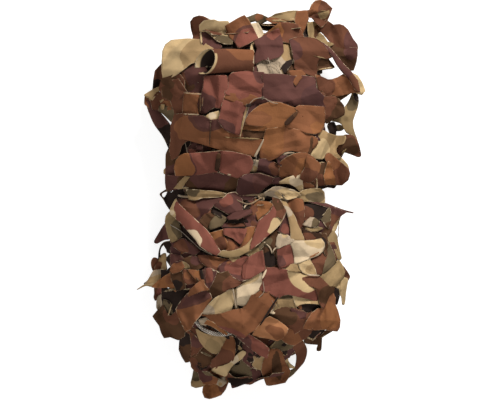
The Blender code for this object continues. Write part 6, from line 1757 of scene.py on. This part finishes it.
@dataclass(frozen=True)
class WaistTie:
    """The cord that is bound once round the bundle's waist and knotted on its face."""
    waist: float = 5.0
    bite: float = 1.0
    sway: float = 2.0
    diameter: float = 2.4
    knot: tuple[float, float, float] = (12, 3, 5)
    knot_size: float = 1.25
    knot_radius: float = 1.1
    end_share: float = 0.55
    twist: Twist = Twist(10, 3, .2, 7)
    ends: tuple[Route, ...] = (
        ((12, 3, 5), (6, -1, 8), (-1, -4, 9.5), (-9, -2, 9.5), (-16, 2, 8)),
        ((12, 3, 5), (16, 7, 8), (21, 10, 10), (27, 9, 11), (32, 5, 12)))
    fibre: Twist = Twist(5)
    fibres: int = 14

    def build(self, yarn: "Yarn") -> None:
        """Build the turn round the waist, the knot and the two free ends with their loose fibres.

        The turn is a superellipse round the waist's girth that sways along Y, and the knot is a trefoil.

        Args:
            yarn: The cord's material.
        """
        heap = Heap()
        left, right, height, lift = (float(v) for v in BUNDLE.girth(self.waist))
        angle = np.linspace(0, 2 * np.pi, 320)
        power = 2 / BUNDLE.corner_power
        reach, half = (right - left) / 2 - self.bite, height / 2 - self.bite
        cos, sin = np.cos(angle), np.sin(angle)
        out = np.stack([cos, 0 * angle, sin], axis=-1)
        ring = np.stack([(left + right) / 2 + reach * np.sign(cos) * np.abs(cos) ** power,
                         self.waist + self.sway * np.sin(2 * angle),
                         lift + height / 2 + half * np.sign(sin) * np.abs(sin) ** power], axis=-1)
        tube(heap, ring, self.diameter / 2, out, self.twist, Ink.STONE)
        knot = trefoil(90, 1.4)
        centre = lay_over((self.knot, self.knot), 1)[0]
        tube(heap, centre + knot * self.knot_size, self.knot_radius, knot + 4 * UP, self.twist, Ink.STONE)
        for number, route in enumerate(self.ends):
            line = lay_over(route, 60)
            taper = np.linspace(1.0, .85, 60)
            tube(heap, line, self.diameter / 2 * self.end_share * taper, UP, self.twist, Ink.TAN)
            self._splay(heap, line, number)
        obj = heap.build("waist_tie")
        yarn.dress(obj)
        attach(obj, "root")
        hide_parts("tie_cord")
        LOG.info("waist_tie: %d points", heap.count)

    def _splay(self, heap: Heap, line: Array, seed: int) -> None:
        """Splay thin fibres from a cord's end, each bent its own way.

        Args:
            heap: Where the fibres go.
            line: The cord's middle line, which ends where they start.
            seed: Seeds their ways.
        """
        rng = np.random.default_rng(seed + 60)
        way = (line[-1] - line[-6]) / np.linalg.norm(line[-1] - line[-6])
        u = np.linspace(0, 1, 7)[:, None]
        for _ in range(self.fibres):
            side = rng.normal(0, 1, 3) * (1, 1, .5)
            points = line[-2] + way * 6 * u * rng.uniform(.6, 1.2) + side * 1.8 * u ** 1.6 + side * .4
            tube(heap, points, np.linspace(.2, .12, 7), UP, self.fibre, Ink.CREAM)


@dataclass(frozen=True)
class NetCords:
    """The off-white cords of the support net where they cross the gaps between the leaves."""
    diameter: float = 0.7
    twist: Twist = Twist(8, 2, .18, 3.5)
    knot_size: float = 0.5
    knot_radius: float = 0.42
    knot_twist: Twist = Twist(6)
    routes: tuple[Route, ...] = (
        ((5, 178, 2), (8, 172, 3), (12, 164, 2)),
        ((18, 143, 5), (21, 134, 5), (24, 126, 4)),
        ((16, 141, 5), (25, 136, 5), (30, 128, 4)),
        ((-1, 96, 10), (4, 101, 9), (10, 102.6, 9), (15, 102, 8), (22, 98, 9), (28, 97, 8)),
        ((0, 97, 9), (-4, 84, 9), (-8, 72, 8), (-10, 63, 6)),
        ((-65, 57, 0), (-64, 52, 0), (-62.5, 46, 0)),
        ((6, 47, 5), (6, 41, 5), (3, 35, 4), (3, 29, 3)),
        ((26, 14, 4), (18, 8, 5), (11, 4, 5), (4, 2, 5)),
        ((30, 9, 6), (22, 7, 6), (15, 4, 6), (9, 5, 6)),
        ((26, 3, 8), (20, -2, 7), (13, -5, 7), (7, -5, 7)),
        ((-80, -25, 3), (-70, -31, 4), (-60, -40, 4), (-50, -49, 4), (-38, -55, 5)),
        ((13, -82, 6), (14, -92, 5), (9, -98, 6)),
        ((22, -101, 4), (24, -106, 4), (23, -112, 4)),
        ((-50, -119, 2), (-47, -124, 2), (-44, -127, 2)))

    def build(self, yarn: "Yarn") -> None:
        """Build the cords, with a small knot halfway along every third one.

        Args:
            yarn: The cords' material.
        """
        heap = Heap()
        knot = trefoil(40)
        for number, route in enumerate(self.routes):
            line = lay_over(route, 14 * len(route))
            tube(heap, line, self.diameter / 2, UP, self.twist, Ink.STONE)
            if number % 3 == 0:
                tube(heap, line[len(line) // 2] + knot * self.knot_size, self.knot_radius, knot + 4 * UP,
                     self.knot_twist, Ink.STONE)
        obj = heap.build("net_cords")
        yarn.dress(obj)
        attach(obj, "root")
        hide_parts("netting")
        LOG.info("net_cords: %d points", heap.count)


class Tree:
    """A short hand for wiring the nodes of one node tree."""

    def __init__(self, nodes: bpy.types.NodeTree) -> None:
        """Keep the tree that the nodes go into."""
        self.tree = nodes

    def feed(self, node: bpy.types.Node, **inputs: object) -> None:
        """Link or set a node's inputs by keys such as in_0 and in_Base_Color.

        Args:
            node: The node.
            inputs: A socket to link or a value to set, for each input.
        """
        for key, value in inputs.items():
            name = key[3:]
            socket = node.inputs[int(name) if name.isdigit() else name.replace("_", " ")]
            if isinstance(value, bpy.types.NodeSocket):
                self.tree.links.new(value, socket)
            else:
                socket.default_value = value

    def node(self, kind: str, **sets: object) -> bpy.types.Node:
        """Add a node; names set its own properties, and keys that start with in_ its inputs.

        Args:
            kind: The node's type, without the prefix of shader nodes.
            sets: Its properties and inputs.

        Returns:
            The node.
        """
        node = self.tree.nodes.new("ShaderNode" + kind)
        for key, value in sets.items():
            if not key.startswith("in_"):
                setattr(node, key, value)
        self.feed(node, **{key: value for key, value in sets.items() if key.startswith("in_")})
        return node

    def math(self, operation: str, a: object, b: object = 0.0) -> bpy.types.NodeSocket:
        """The output of a Math node."""
        return self.node("Math", operation=operation, in_0=a, in_1=b).outputs[0]

    def mix(self, share: object, a: object, b: object, blend: str = "MIX") -> bpy.types.NodeSocket:
        """The colour output of a Mix node; an ink stands for its colour."""
        a, b = (rgba(end) if isinstance(end, Ink) else end for end in (a, b))
        return self.node("Mix", data_type="RGBA", blend_type=blend, in_0=share, in_6=a, in_7=b).outputs[2]

    def ramp(self, value: object, low: float, high: float, a: float = 0.0,
             b: float = 1.0) -> bpy.types.NodeSocket:
        """A value carried straight from low..high to a..b, and held there outside."""
        return self.node("MapRange", in_0=value, in_1=low, in_2=high, in_3=a, in_4=b).outputs[0]

    def noise(self, scale: object, detail: float = 2.0) -> bpy.types.NodeSocket:
        """A noise on the object's own coordinates."""
        place = self.node("TexCoord").outputs["Object"]
        return self.node("TexNoise", in_Vector=place, in_Scale=scale, in_Detail=detail).outputs[0]

    def attribute(self, name: str, output: str = "Fac") -> bpy.types.NodeSocket:
        """A painted value of the mesh."""
        return self.node("Attribute", attribute_name=name).outputs[output]

    def bump(self, height: object, distance: float, strength: float = 1.0,
             **below: object) -> bpy.types.NodeSocket:
        """The normal of a Bump node, over the one below it where in_Normal gives that."""
        node = self.node("Bump", in_Strength=strength, in_Distance=distance, in_Height=height, **below)
        return node.outputs[0]


def rgba(ink: Ink) -> tuple[float, float, float, float]:
    """An ink as a full colour."""
    return (*ink.value, 1.0)


def new_material(name: str) -> tuple[bpy.types.Material, Tree, bpy.types.Node]:
    """A new material with its tree and its Principled shader.

    Args:
        name: The material's name.

    Returns:
        The material, its tree and its shader.
    """
    material = bpy.data.materials.new(name)
    material.use_nodes = True
    return material, Tree(material.node_tree), material.node_tree.nodes["Principled BSDF"]


class Effects:
    """The shader groups that the finishes share."""

    def __init__(self) -> None:
        """Build every group once."""
        self.weave = self._weave()
        self.crumple = self._crumple()
        self.print = self._print()

    @staticmethod
    def _group(name: str, inputs: Sequence[tuple[str, str, object]],
               outputs: Sequence[tuple[str, str]]) -> tuple[Tree, bpy.types.Node, bpy.types.Node]:
        """Start a group with named sockets, each of a kind and with its usual value.

        Args:
            name: The group's name.
            inputs: Name, kind and usual value of each input.
            outputs: Name and kind of each output.

        Returns:
            The group's tree, its input node and its output node.
        """
        group = bpy.data.node_groups.new(name, "ShaderNodeTree")
        for label, kind, default in inputs:
            socket = group.interface.new_socket(label, in_out="INPUT", socket_type="NodeSocket" + kind)
            if default is not None:
                socket.default_value = default
        for label, kind in outputs:
            group.interface.new_socket(label, in_out="OUTPUT", socket_type="NodeSocket" + kind)
        return Tree(group), group.nodes.new("NodeGroupInput"), group.nodes.new("NodeGroupOutput")

    def _weave(self) -> bpy.types.NodeTree:
        """A plain weave: threads as sines of both cloth coordinates, crossed by their product's sign.

        Returns:
            The group.
        """
        tree, given, gives = self._group("plain weave", (("Pitch", "Float", 0.55),), (("Height", "Float"),))
        cloth = tree.node("SeparateXYZ", in_0=tree.node("UVMap", uv_map="cloth").outputs[0])
        turn = tree.math("DIVIDE", math.pi, given.outputs["Pitch"])
        warp, weft = (tree.math("SINE", tree.math("MULTIPLY", cloth.outputs[k], turn)) for k in (0, 1))
        height = tree.math("MULTIPLY", tree.math("MULTIPLY", warp, weft), 0.5)
        tree.feed(gives, in_Height=tree.math("ADD", height, 0.5))
        return tree.tree

    def _crumple(self) -> bpy.types.NodeTree:
        """Fine crumples: two sizes of noise, the finer one folded at its middle into sharp lines.

        Returns:
            The group.
        """
        tree, given, gives = self._group("crumple", (("Fine", "Float", 420.0), ("Broad", "Float", 90.0)),
                                         (("Height", "Float"), ("Shade", "Float")))
        fine, broad = tree.noise(given.outputs["Fine"]), tree.noise(given.outputs["Broad"], 3.0)
        folded = tree.math("ABSOLUTE", tree.math("SUBTRACT", fine, 0.5))
        height = tree.math("ADD", tree.math("MULTIPLY", folded, -0.5), tree.math("MULTIPLY", broad, 0.5))
        tree.feed(gives, in_Height=height, in_Shade=broad)
        return tree.tree

    def _print(self) -> bpy.types.NodeTree:
        """The print: two inks parted by a wavering line, their dark overlap and a bare, ragged cut edge.

        Returns:
            The group.
        """
        tree, given, gives = self._group(
            "printed cloth", (("Ground", "Color", None), ("Blotch", "Color", None), ("Split", "Float", 0.0),
                              ("Band", "Float", 0.0), ("Rim", "Float", 9.0), ("Fray", "Float", 0.0),
                              ("Edge", "Color", None)), (("Color", "Color"),))
        waver, patch = tree.noise(220.0), tree.noise(38.0, 3.0)
        shift = tree.math("MULTIPLY", tree.math("SUBTRACT", waver, 0.5), 2.0)
        split = tree.math("ADD", given.outputs["Split"], shift)
        colour = tree.mix(tree.ramp(split, -0.25, 0.25), given.outputs["Ground"], given.outputs["Blotch"])
        beyond = tree.math("ABSOLUTE", tree.math("ADD", split, given.outputs["Band"]))
        near = tree.math("LESS_THAN", beyond, given.outputs["Band"])
        colour = tree.mix(tree.math("MULTIPLY", near, 0.8), colour, Ink.PLUM)
        shade = tree.ramp(patch, 0.3, 0.7, 0.82, 1.16)
        grey = tree.node("CombineColor", in_0=shade, in_1=shade, in_2=shade).outputs[0]
        colour = tree.mix(1.0, colour, grey, "MULTIPLY")
        ragged = tree.math("MULTIPLY", given.outputs["Fray"], tree.ramp(waver, 0.4, 0.65, -0.4, 1.8))
        bare = tree.math("LESS_THAN", given.outputs["Rim"], ragged)
        colour = tree.mix(tree.math("MULTIPLY", bare, 0.7), colour, given.outputs["Edge"])
        tree.feed(gives, in_Color=colour)
        return tree.tree


@dataclass(frozen=True)
class Cloth:
    """The printed garnish cloth: its face, its lining and its cut edge."""
    effects: Effects
    face_roughness: float = 0.46
    lining_roughness: float = 0.7
    edge_roughness: float = 0.85
    weave_depth: float = 0.00006
    crumple_depth: float = 0.0011
    edge_depth: float = 0.0002
    edge: Ink = Ink.CREAM

    def _surface(self, name: str, ground: str, roughness: float, printed: bool) -> bpy.types.Material:
        """One side of the cloth, from the painted values of the mesh.

        Args:
            name: The material's name.
            ground: The attribute that holds its main ink.
            roughness: Its middle roughness.
            printed: Whether a blotch and its band are printed on it.

        Returns:
            The material.
        """
        material, tree, shader = new_material(name)
        print_group = tree.node("Group", node_tree=self.effects.print)
        tree.feed(print_group, in_Ground=tree.attribute(ground, "Color"),
                  in_Blotch=tree.attribute("blotch" if printed else ground, "Color"),
                  in_Split=tree.attribute("split"), in_Rim=tree.attribute("rim"),
                  in_Fray=tree.attribute("fray"), in_Edge=rgba(self.edge))
        if printed:
            tree.feed(print_group, in_Band=tree.attribute("band"))
        crumple = tree.node("Group", node_tree=self.effects.crumple)
        weave = tree.node("Group", node_tree=self.effects.weave)
        normal = tree.bump(weave.outputs["Height"], self.weave_depth)
        normal = tree.bump(crumple.outputs["Height"], self.crumple_depth, in_Normal=normal)
        normal = tree.bump(tree.attribute("tuck"), 1.0, in_Normal=normal)
        rough = tree.ramp(crumple.outputs["Shade"], 0.3, 0.7, roughness - 0.07, roughness + 0.1)
        tree.feed(shader, in_Base_Color=print_group.outputs["Color"], in_Normal=normal, in_Roughness=rough,
                  in_Specular_IOR_Level=0.0)
        return material

    def dress(self, obj: bpy.types.Object) -> None:
        """Give a sheet its face, lining and cut edge.

        Args:
            obj: The sheet.
        """
        found = bpy.data.materials.get
        face = found("garnish face") or self._surface("garnish face", "ground", self.face_roughness, True)
        lining = (found("garnish lining")
                  or self._surface("garnish lining", "lining", self.lining_roughness, False))
        for material in (face, lining, found("cut edge") or self._edge()):
            obj.data.materials.append(material)

    def _edge(self) -> bpy.types.Material:
        """The cut edge: the bare off-white yarn, soiled in patches.

        Returns:
            The material.
        """
        material, tree, shader = new_material("cut edge")
        patch = tree.noise(300.0)
        tree.feed(shader, in_Base_Color=tree.mix(tree.ramp(patch, 0.48, 0.68), Ink.OLIVE, Ink.SAND),
                  in_Normal=tree.bump(patch, self.edge_depth, 0.6), in_Roughness=self.edge_roughness)
        return material


@dataclass(frozen=True)
class Yarn:
    """Twisted or braided yarn: pale on the crowns of its plies, with painted shade in their grooves."""
    effects: Effects
    name: str
    crown: Ink
    groove_shade: Ink
    roughness: float = 0.8
    sheen: float = 0.2
    thread_depth: float = 0.0002

    def dress(self, obj: bpy.types.Object) -> None:
        """Give a cord its yarn.

        Args:
            obj: The cord.
        """
        material, tree, shader = new_material(self.name)
        crumple = tree.node("Group", node_tree=self.effects.crumple)
        weave = tree.node("Group", node_tree=self.effects.weave)
        soil = tree.ramp(crumple.outputs["Shade"], 0.35, 0.65, 0.0, 0.35)
        # Painted shade: the colour goes to the groove's dark ink deep in the grooves between plies.
        groove_shade = tree.ramp(tree.attribute("rim"), 0.7, 0.98)
        colour = tree.mix(groove_shade, tree.mix(soil, self.crown, self.groove_shade), self.groove_shade)
        tree.feed(shader, in_Base_Color=colour, in_Roughness=self.roughness, in_Sheen_Weight=self.sheen,
                  in_Normal=tree.bump(weave.outputs["Height"], self.thread_depth, 0.7))
        obj.data.materials.append(material)


@dataclass(frozen=True)
class Lamp:
    """A square soft light that looks at the bundle: its place and size in metres and its power in watts."""
    name: str
    place: tuple[float, float, float]
    size: float
    power: float

    def build(self) -> None:
        """Add the light, turned towards the origin."""
        data = bpy.data.lights.new(self.name, "AREA")
        data.shape, data.size, data.energy = "SQUARE", self.size, self.power
        light = bpy.data.objects.new(self.name, data)
        light.location = self.place
        x, y, z = self.place
        light.rotation_euler = (math.acos(z / math.hypot(x, y, z)), 0, math.atan2(y, x) + math.pi / 2)
        bpy.context.scene.collection.objects.link(light)


@dataclass(frozen=True)
class Studio:
    """A pale floor that glows a little, soft lights and the camera straight above."""
    camera_height: float = 2.07
    lens: float = 144.0
    sensor: float = 36.0
    world: float = 0.3
    floor_reach: float = 4.0
    floor_drop: float = 0.0002
    floor_grey: Span = (0.50, 0.52)
    floor_glow: float = 0.76
    lamps: tuple[Lamp, ...] = (Lamp("key light", (0.7, 1.4, 1.2), 0.5, 48.5),
                               Lamp("fill light", (-0.3, -1.2, 1.5), 1.0, 11.0))

    def build(self) -> None:
        """Build the floor, the lights, the world and the camera."""
        self._floor()
        self._camera()
        for lamp in self.lamps:
            lamp.build()
        bpy.context.scene.view_settings.view_transform = "Standard"
        world = bpy.data.worlds.new("studio")
        bpy.context.scene.world = world
        world.use_nodes = True
        Tree(world.node_tree).feed(world.node_tree.nodes["Background"], in_Color=(1.0, 1.0, 1.0, 1.0),
                                   in_Strength=self.world)

    def _camera(self) -> None:
        """Add the camera, which looks straight down with the bundle's top up."""
        data = bpy.data.cameras.new("camera")
        data.lens, data.sensor_width = self.lens, self.sensor
        camera = bpy.data.objects.new("camera", data)
        camera.location = (0.0, 0.0, self.camera_height)
        bpy.context.scene.collection.objects.link(camera)
        bpy.context.scene.camera = camera

    def _floor(self) -> None:
        """Add the pale floor just under the bundle."""
        mesh = bpy.data.meshes.new("floor")
        reach, z = self.floor_reach, -self.floor_drop
        corners = [(-reach, -reach, z), (reach, -reach, z), (reach, reach, z), (-reach, reach, z)]
        mesh.from_pydata(corners, [], [(0, 1, 2, 3)])
        floor = bpy.data.objects.new("floor", mesh)
        bpy.context.scene.collection.objects.link(floor)
        material, tree, shader = new_material("floor paper")
        dark, light = ((grey, grey, grey, 1.0) for grey in self.floor_grey)
        tree.feed(shader, in_Base_Color=tree.mix(tree.noise(60.0), dark, light), in_Roughness=0.95,
                  in_Emission_Color=(1.0, 1.0, 1.0, 1.0), in_Emission_Strength=self.floor_glow)
        mesh.materials.append(material)


def main() -> None:
    """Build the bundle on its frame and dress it."""
    logging.basicConfig(level=logging.INFO)
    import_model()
    Studio().build()
    effects = Effects()
    cloth = Cloth(effects)
    FoldedCloth().build(cloth)
    Garnish().dress(cloth)
    NetCords().build(Yarn(effects, "net cord yarn", Ink.STONE, Ink.OLIVE))
    BorderRope().build(Yarn(effects, "braided yarn", Ink.CHALK, Ink.UMBER))
    WaistTie().build(Yarn(effects, "tie yarn", Ink.TAN, Ink.OLIVE))


if __name__ == "__main__":
    main()
